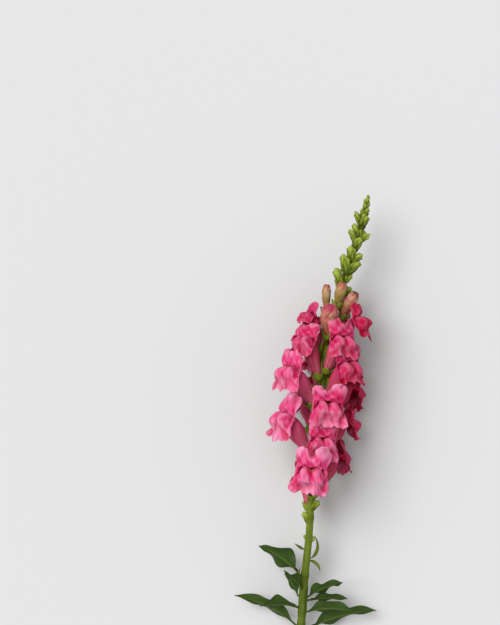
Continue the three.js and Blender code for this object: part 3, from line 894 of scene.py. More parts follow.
@dataclass(frozen=True)
class LeafFinish:
    """A leaf: dark green with a greyish sheen, a pale midrib and finer side veins.

    tint holds the shares of rib, under and young, and mark the place among the side veins.
    """

    base: Colour = srgb("0E1E02")
    sun: Colour = srgb("223A0A")
    under: Colour = srgb("30441A")
    rib: Colour = srgb("5A6E22")
    young: Colour = srgb("66781E")
    under_share: float = 0.8
    rib_share: float = 0.8
    veins: float = 11.0
    vein_edges: Range = (0.86, 1.0)
    vein_range: Range = (0.0, 0.3)
    grain_relief: Range = (0.75, 1.0)
    vein_relief: Range = (0.0, 0.6)
    surface: Surface = Surface((0.34, 0.5), 0.7, 0.35, 0.0, 0.08, 0.06)

    def made(self, effects: Effects) -> bpy.types.Material:
        """The finish as a material.

        Args:
            effects: The node groups that the finishes share.

        Returns:
            The material.
        """
        material, wiring = start_material("leaf")
        rib, under, young = wiring.shares("tint")
        place = wiring.add("ShaderNodeAttribute", attribute_name="mark").outputs["Vector"]
        inputs = {"Vector": place, "Scale": self.veins, "Distortion": 0.6, "Detail": 2.0}
        wave = wiring.add("ShaderNodeTexWave", inputs, bands_direction="X").outputs["Fac"]
        vein = wiring.between(wave, *self.vein_edges)
        patch = wiring.group(effects.mottle, scale=90.0, detail=4.0)
        grain = wiring.group(effects.mottle, scale=1100.0, detail=4.0)
        colour = wiring.mix(patch, self.base, self.sun)
        colour = wiring.mix(young, colour, self.young)
        colour = wiring.mix(wiring.math("MULTIPLY", under, self.under_share), colour, self.under)
        colour = wiring.mix(wiring.spread(vein, *self.vein_range), colour, self.rib)
        colour = wiring.mix(wiring.math("MULTIPLY", rib, self.rib_share), colour, self.rib)
        grain = wiring.spread(grain, *self.grain_relief)
        height = wiring.math("SUBTRACT", grain, wiring.spread(vein, *self.vein_relief))
        self.surface.wire(wiring, colour, patch, height, colour)
        return material


# ---------------------------------------------------------------- pieces


class Slot(Enum):
    """The record's material slots."""

    STEM = "stem"
    PETAL = "petal"
    BUD = "bud"
    LEAF = "leaf"


@dataclass
class Piece:
    """One piece of the plant: the node it stands for, its slot and its finish."""

    name: str
    node: str
    slot: Slot
    finish: bpy.types.Material

    def shape(self) -> Shape:
        """Returns the piece's shape. Each kind of piece has its own."""
        raise NotImplementedError

    def build(self) -> bpy.types.Object:
        """Returns the piece as an object that stands for its node and rides on the part."""
        made = self.shape().built(self.name, self.finish)
        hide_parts(self.node)
        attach(made, "root")
        log.info("%s: %d faces", self.name, len(made.data.polygons))
        return made


@dataclass(frozen=True)
class Wave:
    """One wave round a flower: its beats in a round, its share, and its slant along the flower."""

    beats: int
    share: float
    slant: float = 0.0

    def at(self, columns: Array, rows: Array, start: float) -> Array:
        """Returns the wave, from -1 to 1, from a start given as a share of a beat."""
        return np.sin(FULL_TURN * (self.beats * columns / ROUND + start) + self.slant * rows)


@dataclass(frozen=True)
class Mound:
    """A soft mound on a bloom: its row and column, how far it spreads along each, its height."""

    row: float
    column: float
    along: float
    around: float
    height: float = 1.0

    def at(self, columns: Array, rows: Array) -> Array:
        """Returns the mound's height at places on the net."""
        return self.height * bell(rows, self.row, self.along) * bell(columns, self.column, self.around)


class Draw(IntEnum):
    """What a flower's seed is multiplied by, so that each of its traits is drawn afresh."""

    WRINKLE = 3
    NIBBLE = 7
    SWING = 17
    RUFFLE = 31
    FRILL = 37
    CRUMPLE = 41
    CURL = 53
    SHORT = 61


@dataclass(frozen=True)
class PetalTints:
    """Where a bloom's petals are pale, deep, dusty, warm and rimmed, by columns and rows; deep is painted
    shade, with some darkening of older blooms, and the crests carry a painted highlight.
    """

    # Pale: the lower lip, the upper lip, the edges, and a painted highlight on the crests, less so in older
    # blooms and in blooms darkened as painted shade.
    lower_lip: Rise = Rise(3.6, 4.4)
    lower_pale: Rise = Rise(5.6, 6.8, 0.7)
    lower_pale_side: Hill = Hill(HALF_ROUND, 1.5)
    upper_pale: Rise = Rise(6.4, 7.6, 0.45)
    edge_pale: Rise = Rise(7.0, 7.9, 0.25)
    crest_painted_highlight: float = 0.5
    pale_lost_with_age_and_shade: float = 0.8
    # Deep: older blooms and blooms darkened as painted shade, and painted shade in the throat, the corners
    # of the mouth, the palate's groove, the waist and the hollows.
    deep_with_age_and_shade: float = 0.75
    throat: Rise = Rise(3.4, 4.4)
    throat_shift: float = 0.7
    throat_painted_shade: float = 0.85
    corner_painted_shade: Mound = Mound(5.4, 3, 1.0, 0.45, 0.5)
    groove_painted_shade: Mound = Mound(5.0, HALF_ROUND, 0.9, 0.2, 0.6)
    waist_painted_shade: Hill = Hill(6.3, 0.5, 0.2)
    hollow_painted_shade: float = 0.7
    # The dusty tube, the warm palate and the pale rim.
    tube_fade: Rise = Rise(1.6, 4.4, 0.85)
    tube_end: Rise = Rise(4.0, 4.8)
    tube_lost_inside: float = 0.6
    warm: Mound = Mound(4.5, HALF_ROUND, 0.4, 0.9, 0.5)
    rim: Rise = Rise(7.7, 8.0, 0.35)

    def values(
        self, columns: Array, rows: Array, hollow: Array, inside: float, age: float
    ) -> dict[str, Array]:
        """The shares that the petals' finish reads.

        Args:
            columns: The places round the bloom.
            rows: The places along it.
            hollow: How far each place lies in a hollow of the throat side.
            inside: 1 on the side of the petals that faces the throat, and 0 on the other.
            age: How far the bloom has darkened, partly with growing older and partly as painted shade.

        Returns:
            The values of tint and mark.
        """
        folded = np.minimum(columns, ROUND - columns)
        lower = self.lower_lip.at(folded)
        pale = lower * self.lower_pale.at(rows) * self.lower_pale_side.at(folded)
        pale += (1 - lower) * self.upper_pale.at(rows) + self.edge_pale.at(rows)
        # Blooms set darker, partly as they grow older and partly as painted shade, lose their pale and gain
        # deep.
        pale *= 1 - self.pale_lost_with_age_and_shade * age
        throat = self.throat.at(rows + self.throat_shift * (lower - 1))
        # Painted shade: deep inside the throat, at the corners of the mouth, in the palate's groove and
        # along the waist below it.
        deep = self.throat_painted_shade * (1 - throat) * inside + self.deep_with_age_and_shade * age
        deep += self.corner_painted_shade.at(folded, rows) + self.groove_painted_shade.at(folded, rows)
        deep += lower * self.waist_painted_shade.at(rows)
        # Painted shade in the hollows, and a painted highlight on the crests.
        sunk = hollow * (2 * inside - 1) * self.throat.at(rows)
        deep += self.hollow_painted_shade * np.maximum(sunk, 0)
        pale += self.crest_painted_highlight * np.maximum(-sunk, 0)
        tube = (1 - self.tube_fade.at(rows)) * (1 - self.tube_end.at(rows))
        tube *= 1 - self.tube_lost_inside * inside
        mark = together(self.warm.at(folded, rows) * inside, self.rim.at(rows), inside)
        return {"tint": np.clip(together(pale, deep, tube), 0, 1), "mark": mark}


@dataclass
class Bloom(Piece):
    """An open bloom: a tube with a two-lobed upper lip and a three-lobed lower lip.

    Its middle surface is the control net's. The petals' edges are cleft between their lobes
    and ruffled, the lower lip has three long folds, and its palate a groove. Columns are
    counted round from the notch of the upper lip, and rows along from the foot, one to a ring.
    """

    flower: Flower
    seed: int
    # How far the bloom is darkened: partly how old it is, partly painted shade.
    age: float
    ear_reach: float
    # The grid of points, and the thickness of the petals.
    columns: int = 120
    outer_rows: int = 56
    bunching: float = 0.15
    inner_from: float = 1.0
    thickness: float = 0.6
    thinning: Rise = Rise(6.0, LAST_RING, 0.55)
    edge_round: float = 0.35
    # Where the upper lip's lobes are lengthened.
    ear_rise: Rise = Rise(5.6, LAST_RING)
    ear_side: Rise = Rise(1.6, 2.8)
    # The petals' outline: their clefts and lobes, and small nibbles.
    clefts: tuple[Hill, ...] = (
        Hill(0, 0.6, 0.36), Hill(2.6, 0.6, 0.5), Hill(3.5, 0.35, 0.4), Hill(5.2, 0.45, 0.22),
    )
    lobes: tuple[Hill, ...] = (
        Hill(1.4, 1.0), Hill(3.9, 0.6), Hill(6.0, 0.9), Hill(8.1, 0.6), Hill(10.6, 1.0),
    )
    trim: float = 0.12
    trim_rise: Rise = Rise(5, LAST_RING)
    uneven: float = 0.7
    nibbles: tuple[Wave, ...] = (Wave(9, 0.06), Wave(14, 0.06), Wave(23, 0.06))
    # The ruffles of the edges, with a fine frill on them.
    ruffle: Rise = Rise(6.0, LAST_RING, 1.9)
    ruffles: tuple[Wave, ...] = (Wave(5, 0.6, 1.4), Wave(7, 0.45, -2.0), Wave(12, 0.22, 2.6))
    calm: Hill = Hill(3, 0.8, 0.8)
    swing: Wave = Wave(3, 0.3)
    frill: Rise = Rise(7.0, LAST_RING, 0.25)
    frill_wave: Wave = Wave(34, 0.5)
    # The folds of the lower lip, and the forms of its palate.
    fold: Rise = Rise(5.8, 6.8, 0.03)
    fold_end: Rise = Rise(7.2, LAST_RING, 0.5)
    fold_side: Hill = Hill(HALF_ROUND, 1.1)
    fold_pitch: float = 0.85
    cheek: Mound = Mound(5.1, 5.25, 0.9, 1.05, 1.5)
    groove: Mound = Mound(4.9, HALF_ROUND, 1.0, 0.3, 0.7)
    waist: Mound = Mound(6.45, HALF_ROUND, 0.4, 1.9, 0.25)
    pout: Hill = Hill(4.1, 0.5, 1.1)
    # The ribs of the tube, the curl of each lobe, and the crumpling.
    ribs: Hill = Hill(2.4, 1.4, 0.1)
    curl: float = 3.0
    curl_rise: Rise = Rise(5.8, LAST_RING)
    curl_power: float = 1.5
    crumple: Rise = Rise(3.8, 5.6, 0.42)
    crumples: tuple[Wave, ...] = (
        Wave(4, 0.9, 2.1), Wave(6, 0.8, -3.4), Wave(9, 0.6, 4.3), Wave(13, 0.3, -2.3), Wave(23, 0.18, 5.1),
    )
    # What counts as a hollow, for the painted shade in hollows and the painted highlight on crests, and the
    # shares of colour.
    hollow_reach: int = 2
    hollow_full: float = 0.35
    tints: PetalTints = PetalTints()

    def spots(self) -> tuple[Array, Array]:
        """Returns the places on the net, round the bloom and along it, as two grids."""
        columns = np.linspace(0, ROUND, self.columns, endpoint=False)
        share = np.linspace(0, 1, self.outer_rows)
        rows = LAST_RING * (share * (1 + self.bunching) - self.bunching * share**2)
        columns, rows = np.meshgrid(columns, rows)
        folded = np.minimum(columns, ROUND - columns)
        cut = sum(cleft.at(folded) for cleft in self.clefts)
        nibble = self.summed(self.nibbles, Draw.NIBBLE, columns, rows)
        short = self.uneven * self.by_lobe(columns, Draw.SHORT)
        back = self.flower.open * (cut + self.trim + nibble + np.maximum(short, 0))
        return columns, rows - back * self.trim_rise.at(rows)

    def summed(self, waves: Sequence[Wave], key: Draw, columns: Array, rows: Array) -> Array:
        """The sum of some waves, each from a start of its own.

        Args:
            waves: The waves.
            key: What the starts are drawn by.
            columns: The places round the bloom.
            rows: The places along it.

        Returns:
            The sum at each place.
        """
        starts = [draw(self.seed * key + wave.beats) for wave in waves]
        return sum(wave.share * wave.at(columns, rows, start) for wave, start in zip(waves, starts))

    def by_lobe(self, columns: Array, key: Draw) -> Array:
        """Returns a share from -1 to 1 that differs from lobe to lobe, drawn by a key."""
        swings = [draw_signed(self.seed * key + LOBE_KEY * index) for index in range(len(self.lobes))]
        return sum(swing * lobe.at(columns) for swing, lobe in zip(swings, self.lobes))

    def relief(self, columns: Array, rows: Array) -> Array:
        """How far each place is raised from the net's surface, into the bloom.

        Args:
            columns: The places round the bloom.
            rows: The places along it.

        Returns:
            The relief, in millimetres before the bloom's size is applied.
        """
        folded = np.minimum(columns, ROUND - columns)
        waves = self.summed(self.ruffles, Draw.RUFFLE, columns, rows)
        swing = self.swing.at(columns, rows, draw(self.seed * Draw.SWING))
        swing = 1 - self.swing.share + self.swing.share * swing
        ruffled = self.ruffle.at(rows) * (1 - self.calm.at(folded)) * swing * waves
        frill = self.frill_wave.at(columns, rows, draw(self.seed * Draw.FRILL))
        ruffled += self.frill.at(rows) * frill * self.frill_wave.share * (1 + waves)
        folds = np.cos(FULL_TURN * (folded - HALF_ROUND) / self.fold_pitch) * self.fold_side.at(folded)
        folds *= self.fold.at(rows) * (1 - self.fold_end.at(rows))
        palate = self.cheek.at(folded, rows) - self.groove.at(folded, rows) - self.waist.at(folded, rows)
        palate += self.pout.at(rows)
        curled = self.curl * self.by_lobe(columns, Draw.CURL) * self.curl_rise.at(rows) ** self.curl_power
        crumpled = self.crumple.at(rows) * self.summed(self.crumples, Draw.CRUMPLE, columns, rows)
        ribs = np.cos(FULL_TURN * columns) * self.ribs.at(rows)
        return self.flower.open * (ruffled + folds + palate + curled + crumpled) + ribs

    def hollow(self, surface: Array) -> Array:
        """How deep each place lies below its surroundings, for the painted shade in hollows and the painted
        highlight on crests.

        Args:
            surface: The bloom's middle surface, as a grid of points.

        Returns:
            A share from -1 on a crest to 1 in a hollow.
        """
        reach = self.hollow_reach
        beside = (np.roll(surface, reach, axis=1) + np.roll(surface, -reach, axis=1)) / 2
        padded = np.concatenate([surface[:1]] * reach + [surface] + [surface[-1:]] * reach)
        along = (padded[: -2 * reach] + padded[2 * reach :]) / 2
        sunk = np.sum(((beside + along) / 2 - surface) * normals_of(surface, ring=True), axis=-1)
        return np.clip(sunk / self.hollow_full, -1, 1)

    def values(self, columns: Array, rows: Array, hollow: Array, inside: float) -> dict[str, Array]:
        """Returns the values of flow, tint and mark, for the places that PetalTints.values takes."""
        flow = ring_flow(FULL_TURN * columns / ROUND, rows + self.seed * FLOW_STEP)
        return {"flow": flow, **self.tints.values(columns, rows, hollow, inside, self.age)}

    def shape(self) -> Shape:
        """Returns the bloom: its outer side, its inner side and the rim between them."""
        columns, rows = self.spots()
        surface = net_surface(self.flower.net(self.seed), columns, rows)
        folded = np.minimum(columns, ROUND - columns)
        longer = self.ear_reach * self.flower.open * self.ear_rise.at(rows) * (1 - self.ear_side.at(folded))
        surface += unit(np.gradient(surface, axis=0)) * longer[..., None]
        surface += normals_of(surface, ring=True) * self.relief(columns, rows)[..., None]
        inward = normals_of(surface, ring=True)
        thick = (self.thickness / self.flower.size * (1 - self.thinning.at(rows)))[..., None]
        outward = np.clip(rows - THROAT, 0, 1)[..., None] * thick
        outside = surface - inward * outward
        inside = surface + inward * (thick - outward)
        edge = (outside[-1] + inside[-1]) / 2 + self.edge_round * (surface[-1] - surface[-2])
        spots = columns, rows, self.hollow(surface)
        deep = slice(int(np.searchsorted(rows[:, 0], self.inner_from)), None)
        matrix = self.flower.frame() @ scaling(self.flower.size)
        shape = Shape()
        outer = shape.add_points(placed(outside, matrix), **self.values(*spots, 0.0))
        values = self.values(*(grid[deep] for grid in spots), 1.0)
        inner = shape.add_points(placed(inside[deep], matrix), **values)
        rim = shape.add_points(placed(edge, matrix), **self.values(*(grid[-1] for grid in spots), 1.0))
        foot = shape.add_points(placed(np.zeros((1, 3)), matrix))
        floor = shape.add_points(placed(inside[deep][0].mean(axis=0, keepdims=True), matrix))
        shape.join_tube(np.vstack([outer, rim, inner[::-1]]), foot, floor, turned=True)
        return shape


@dataclass
class Bud(Piece):
    """A closed bud: its petals lie over one another, with a soft crease where each ends."""

    flower: Flower
    seed: int
    pink: float
    green: float
    pale: float
    dark_tip: float
    # The grid of points, and the petals that wind round the bud.
    columns: int = 60
    rows: int = 44
    petals: int = 5
    twist: float = 0.05
    lap: float = 0.09
    # Its creases, lumps and wrinkles, and its blunt tip.
    crease: Rise = Rise(3.0, 6.0, 1.05)
    bulge: float = 0.35
    lump: float = 0.12
    lump_rate: tuple[float, float] = (2, 3)
    wrinkle: Rise = Rise(2.8, 5.0, 2.0)
    wrinkles: tuple[Wave, ...] = (Wave(7, 0.3, 1.7), Wave(11, 0.22, -2.3), Wave(19, 0.12, 3.1))
    calm: Rise = Rise(7.5, LAST_RING, 0.5)
    blunt: Hill = Hill(7.3, 0.6, 0.7)
    tip: Place = (0.0, -1.0, -0.7)
    # The shares of colour.
    green_end: Rise = Rise(2.4, 5.2)
    green_band: Hill = Hill(4.4, 1.0, 0.3)
    pink_foot: float = 0.75
    pink_rise: Rise = Rise(3.5, 7, 0.4)
    pale_band: Hill = Hill(5.0, 1.8)
    pale_top: float = 0.4
    fold: Rise = Rise(3.0, 5.0, 0.9)
    fold_least: float = 0.4
    fold_tip: Rise = Rise(7.5, LAST_RING, 0.8)
    tip_rise: Rise = Rise(6.6, 7.8)

    def relief(self, columns: Array, rows: Array, lap: Array, place: Array) -> Array:
        """Returns how far each place is raised from the net's surface.

        Args:
            columns: The places round the bud.
            rows: The places along it.
            lap: 1 where one petal ends on the next, and 0 away from there.
            place: The place across its own petal, from 0 to 1.

        Returns:
            The relief, in millimetres before the bud's size is applied.
        """
        across, along = self.lump_rate
        relief = self.crease.at(rows) * (lap - self.bulge * np.sin(math.pi * place))
        relief -= self.lump * np.sin(across * columns + along * rows)
        for wave in self.wrinkles:
            line = 1 - np.abs(wave.at(columns, rows, draw(self.seed * Draw.WRINKLE + wave.beats)))
            relief -= self.wrinkle.at(rows) * wave.share * line**2
        return relief * (1 - self.calm.at(rows)) - self.blunt.at(rows)

    def values(self, angle: Array, rows: Array, lap: Array) -> dict[str, Array]:
        """The shares that the bud's finish reads.

        Args:
            angle: The angle of each place round the bud.
            rows: The places along it.
            lap: 1 where one petal ends on the next, and 0 away from there.

        Returns:
            The values of flow, tint and mark.
        """
        pink = self.pink * (self.pink_foot + self.pink_rise.at(rows))
        green = self.green * (1 - self.green_end.at(rows) + self.green_band.at(rows))
        pale = self.pale * self.pale_band.at(rows) * (1 - self.pale_top + self.pale_top * np.cos(angle))
        fold = self.fold.at(rows) * lap * max(self.pink, self.fold_least) + self.fold_tip.at(rows)
        return {
            "flow": ring_flow(angle, rows + self.seed * FLOW_STEP),
            "tint": np.clip(together(pink, green, pale), 0, 1),
            "mark": np.clip(together(fold, self.dark_tip * self.tip_rise.at(rows), 0), 0, 1),
        }

    def shape(self) -> Shape:
        """Returns the bud: rings of the net, creased between the petals and drawn to a tip."""
        columns, rows = np.meshgrid(
            np.linspace(0, ROUND, self.columns, endpoint=False),
            np.linspace(0, LAST_RING, self.rows),
        )
        winding = self.petals * (columns / ROUND + self.twist * rows) + draw(self.seed)
        place = winding - np.floor(winding)
        lap = bell(place, 0, self.lap) + bell(place, 1, self.lap)
        surface = net_surface(self.flower.net(self.seed), columns, rows)
        surface += normals_of(surface, ring=True) * self.relief(columns, rows, lap, place)[..., None]
        values = self.values(FULL_TURN * columns / ROUND, rows, lap)
        end = surface[-1].mean(axis=0, keepdims=True) + np.array(self.tip)
        matrix = self.flower.frame() @ scaling(self.flower.size)
        shape = Shape()
        rings = shape.add_points(placed(surface, matrix), **values)
        foot = shape.add_points(placed(np.zeros((1, 3)), matrix))
        point = shape.add_points(placed(end, matrix), **{key: kept[-1:, 0] for key, kept in values.items()})
        shape.join_tube(rings, foot, point, turned=True)
        return shape


@dataclass(frozen=True)
class CalyxForm:
    """The five-lobed cup at the foot of a flower, and the stalk below it.

    The cup goes from its foot to its wall, and from there to a rim of notches and tips.
    """

    # The grid of points, and the outline, as places along the tube and radii there.
    lobes: int = 5
    columns: int = 50
    rows: int = 14
    foot: float = -2.2
    foot_radius: float = 0.9
    wall: float = 0.5
    wall_radius: float = 4.2
    wall_share: float = 0.35
    notch: float = 3.6
    notch_radius: float = 5.7
    tip: float = 7.8
    tip_radius: float = 6.3
    lobe_power: float = 1.35
    flare_power: float = 0.8
    # The ridges, the spread of the tips and the thickness.
    ridge: Rise = Rise(0.2, 0.6, 0.22)
    spread: float = 0.5
    spread_middle: float = 0.3
    spread_key: int = 3
    thickness: float = 0.8
    thinning: float = 0.55
    least_radius: float = 0.2
    # The shares of colour.
    young: float = 0.55
    young_lobe: float = 0.2
    dark_tip: float = 0.55
    pale_tip: float = 0.5
    rib: Rise = Rise(0.3, 0.6, 0.5)
    rib_width: float = 0.12
    # The stalk.
    stalk_radius: float = 1.1
    stalk_flare: float = 0.25
    stalk_depth: float = 1.1
    stalk_root: Place = (0, -1.5, 0)
    stalk_bend: Place = (0, 0.5, 4.5)
    stalk_sides: int = 12
    stalk_steps: int = 12
    stalk_flow: float = 8.0
    stalk_tint: Tint = (0.5, 0.2, 0.1)

    def cup(self, shape: Shape, matrix: Array, seed: int) -> Array:
        """Adds the cup to a shape.

        Args:
            shape: What it is added to.
            matrix: The flower's frame, at the cup's size.
            seed: What its spread is drawn by.

        Returns:
            The points of its outer side.
        """
        share, angle = np.meshgrid(np.linspace(0, 1, self.rows), around(self.columns), indexing="ij")
        off = np.abs((self.lobes * angle / FULL_TURN + 0.5) % 1 - 0.5) * 2
        lobe = 1 - off**self.lobe_power
        rim = self.notch + (self.tip - self.notch) * lobe
        rim_radius = self.notch_radius + (self.tip_radius - self.notch_radius) * lobe
        upper = np.clip((share - self.wall_share) / (1 - self.wall_share), 0, 1)
        low = self.foot + (self.wall - self.foot) * share / self.wall_share
        along = np.where(upper > 0, self.wall + (rim - self.wall) * upper, low)
        swell = np.sqrt(ease(share, 0, self.wall_share))
        low = self.foot_radius + (self.wall_radius - self.foot_radius) * swell
        high = self.wall_radius + (rim_radius - self.wall_radius) * upper**self.flare_power
        radius = np.where(upper > 0, high, low)
        radius += np.cos(self.lobes * angle) * self.ridge.at(share)
        radius += self.spread * (draw(seed + self.spread_key) - self.spread_middle) * upper**3 * lobe
        inner = np.maximum(radius - self.thickness * (1 - self.thinning * upper), self.least_radius)
        young = self.young + self.young_lobe * lobe
        tint = together(young, self.dark_tip * upper * lobe**2, self.pale_tip * upper**4)
        mark = together(0, bell(off, 0, self.rib_width) * self.rib.at(share), 0)
        values = {"flow": ring_flow(angle, along + seed), "tint": tint, "mark": mark}
        skin = placed(self.leaned(angle, along, radius), matrix)
        outside = shape.add_points(skin, **values)
        inside = shape.add_points(placed(self.leaned(angle, along, inner), matrix), **values)
        shape.join_rows(np.vstack([outside, inside[::-1]]), ring=True, turned=True)
        shape.join_rows(np.vstack([inside[:1], outside[:1]]), ring=True, turned=True)
        return skin

    @staticmethod
    def leaned(angle: Array, along: Array, radius: Array) -> Array:
        """Returns points round the tube's own line, which leans as the first ring does."""
        lean = math.radians(RINGS[0].lean)
        rise = np.cos(angle) * radius
        up = along * math.sin(lean) + rise * math.cos(lean)
        return together(np.sin(angle) * radius, up, along * math.cos(lean) - rise * math.sin(lean))

    def stalk(self, shape: Shape, flower: Flower, size: float, seed: int) -> None:
        """Adds the stalk from the stem to the cup.

        Args:
            shape: What it is added to.
            flower: The flower that stands on it.
            size: The cup's size.
            seed: What shifts the streaks on it.
        """
        place = LINE.place(flower.height, flower.bearing)
        own = np.linalg.inv(place) @ flower.frame()
        foot = (self.foot + self.stalk_depth) * size
        end = placed(self.leaned(np.zeros(1), np.array([foot]), np.zeros(1)), own)[0]
        t = np.linspace(0, 1, self.stalk_steps)[:, None]
        root, bend = np.array(self.stalk_root), np.array(self.stalk_bend)
        centres = (1 - t) ** 2 * root + 2 * t * (1 - t) * bend + t**2 * end
        way = unit(np.gradient(centres, axis=0))
        side = unit(np.cross(way, [1.0, 0, 0]))
        cross = np.cross(way, side)
        angle = around(self.stalk_sides)[:, None]
        ring = np.cos(angle) * side[:, None] + np.sin(angle) * cross[:, None]
        radius = self.stalk_radius * size * (1 + self.stalk_flare * (2 * t - 1) ** 2)
        points = placed(centres[:, None] + ring * radius[:, None], place)
        tint = np.array(self.stalk_tint)
        rows = shape.add_points(points, flow=ring_flow(angle.T, t * self.stalk_flow + seed), tint=tint)
        ends = shape.add_points(placed(centres[[0, -1]], place), tint=tint)
        shape.join_tube(rows, ends[:1], ends[1:], turned=True)


@dataclass
class Calyces(Piece):
    """The green cups and stalks of all the flowers."""

    flowers: Sequence[Flower] = ()
    skins: list[Array] = field(default_factory=list)
    form: CalyxForm = field(default_factory=CalyxForm)

    def shape(self) -> Shape:
        """Returns the cups and stalks."""
        shape = Shape()
        for seed, flower in enumerate(self.flowers):
            size = flower.calyx or flower.size
            self.skins.append(self.form.cup(shape, flower.frame() @ scaling(size), seed))
            self.form.stalk(shape, flower, size, seed)
        return shape


@dataclass
class Axis(Piece):
    """The main axis: a slightly ridged round stem with a slanted cut."""

    joints: Sequence[float] = ()
    skins: list[Array] = field(default_factory=list)
    # The grid of points, the slanted cut, the ridges and the swollen joints.
    sides: int = 40
    steps: int = 300
    slant: float = 3.0
    ridges: int = 5
    ridge: float = 0.05
    twist: float = 0.02
    joint_swell: float = 0.16
    joint_long: float = 2.6
    # Where the hairs start, and the rings of the cut.
    hairy_from: float = 120.0
    bark: float = 0.97
    pith: float = 0.5
    # The streaks and the shares of colour.
    flow_rate: float = 0.25
    young: Rise = Rise(0.2, 0.85, 0.95)
    dark_foot: float = 0.45
    dark_foot_end: Rise = Rise(0.0, 0.3)
    dark_joint: float = 0.35
    pale: float = 0.05

    def shape(self) -> Shape:
        """Returns the axis, swollen a little at each joint."""
        heights = np.linspace(0, LINE.length, self.steps)
        angle = around(self.sides)
        swell = np.minimum(sum(bell(heights, joint, self.joint_long) for joint in self.joints), 1)[:, None]
        along = heights[:, None]
        radius = LINE.radius(along) * (1 + self.joint_swell * swell)
        radius = radius * (1 + self.ridge * np.cos(self.ridges * angle + along * self.twist))
        slant = np.where(along == 0, self.slant * np.cos(angle), 0)
        local = together(np.cos(angle) * radius, slant, -np.sin(angle) * radius)
        points = np.stack([
            placed(ring, LINE.place(float(height), 0)) for height, ring in zip(heights, local)
        ])
        share = along / LINE.length
        dark = self.dark_foot * (1 - self.dark_foot_end.at(share)) + self.dark_joint * swell
        tint = together(self.young.at(share), dark, self.pale)
        self.skins.append(points[heights > self.hairy_from])
        shape = Shape()
        rows = shape.add_points(points, flow=ring_flow(angle, along * self.flow_rate), tint=tint)
        shape.join_rows(rows, ring=True)
        self.add_cut(shape, points[0], rows[:1])
        end = shape.add_points(points[-1].mean(axis=0, keepdims=True), tint=np.array([1.0, 0, 0]))
        shape.close_ring(rows[-1], int(end[0]), turned=True)
        return shape

    def add_cut(self, shape: Shape, ring: Array, numbers: Array) -> None:
        """Adds the cut end: bark, pith and heart.

        Args:
            shape: What it is added to.
            ring: The points of the stem's first ring.
            numbers: Their numbers, as one row.
        """
        cut = {"tint": np.zeros(3), "mark": np.array([1.0, 0, 0])}
        middle = ring.mean(axis=0)
        bark = shape.add_points(middle + (ring - middle) * self.bark, **cut)
        pith = shape.add_points(middle + (ring - middle) * self.pith, **cut)
        heart = shape.add_points(middle[None], **cut)
        shape.join_rows(np.vstack([pith, bark, numbers]), ring=True)
        shape.close_ring(pith, int(heart[0]))


@dataclass(frozen=True)
class GreenBud:
    """One closed green bud: its height, bearing, length, width and lean out from the stem."""

    height: float
    bearing: float
    long: float
    wide: float
    lean: float


class BudDraw(IntEnum):
    """What is added to a green bud's seed, so that each of its traits is drawn afresh."""

    OVAL = 300
    START = 500
    DARK = 700


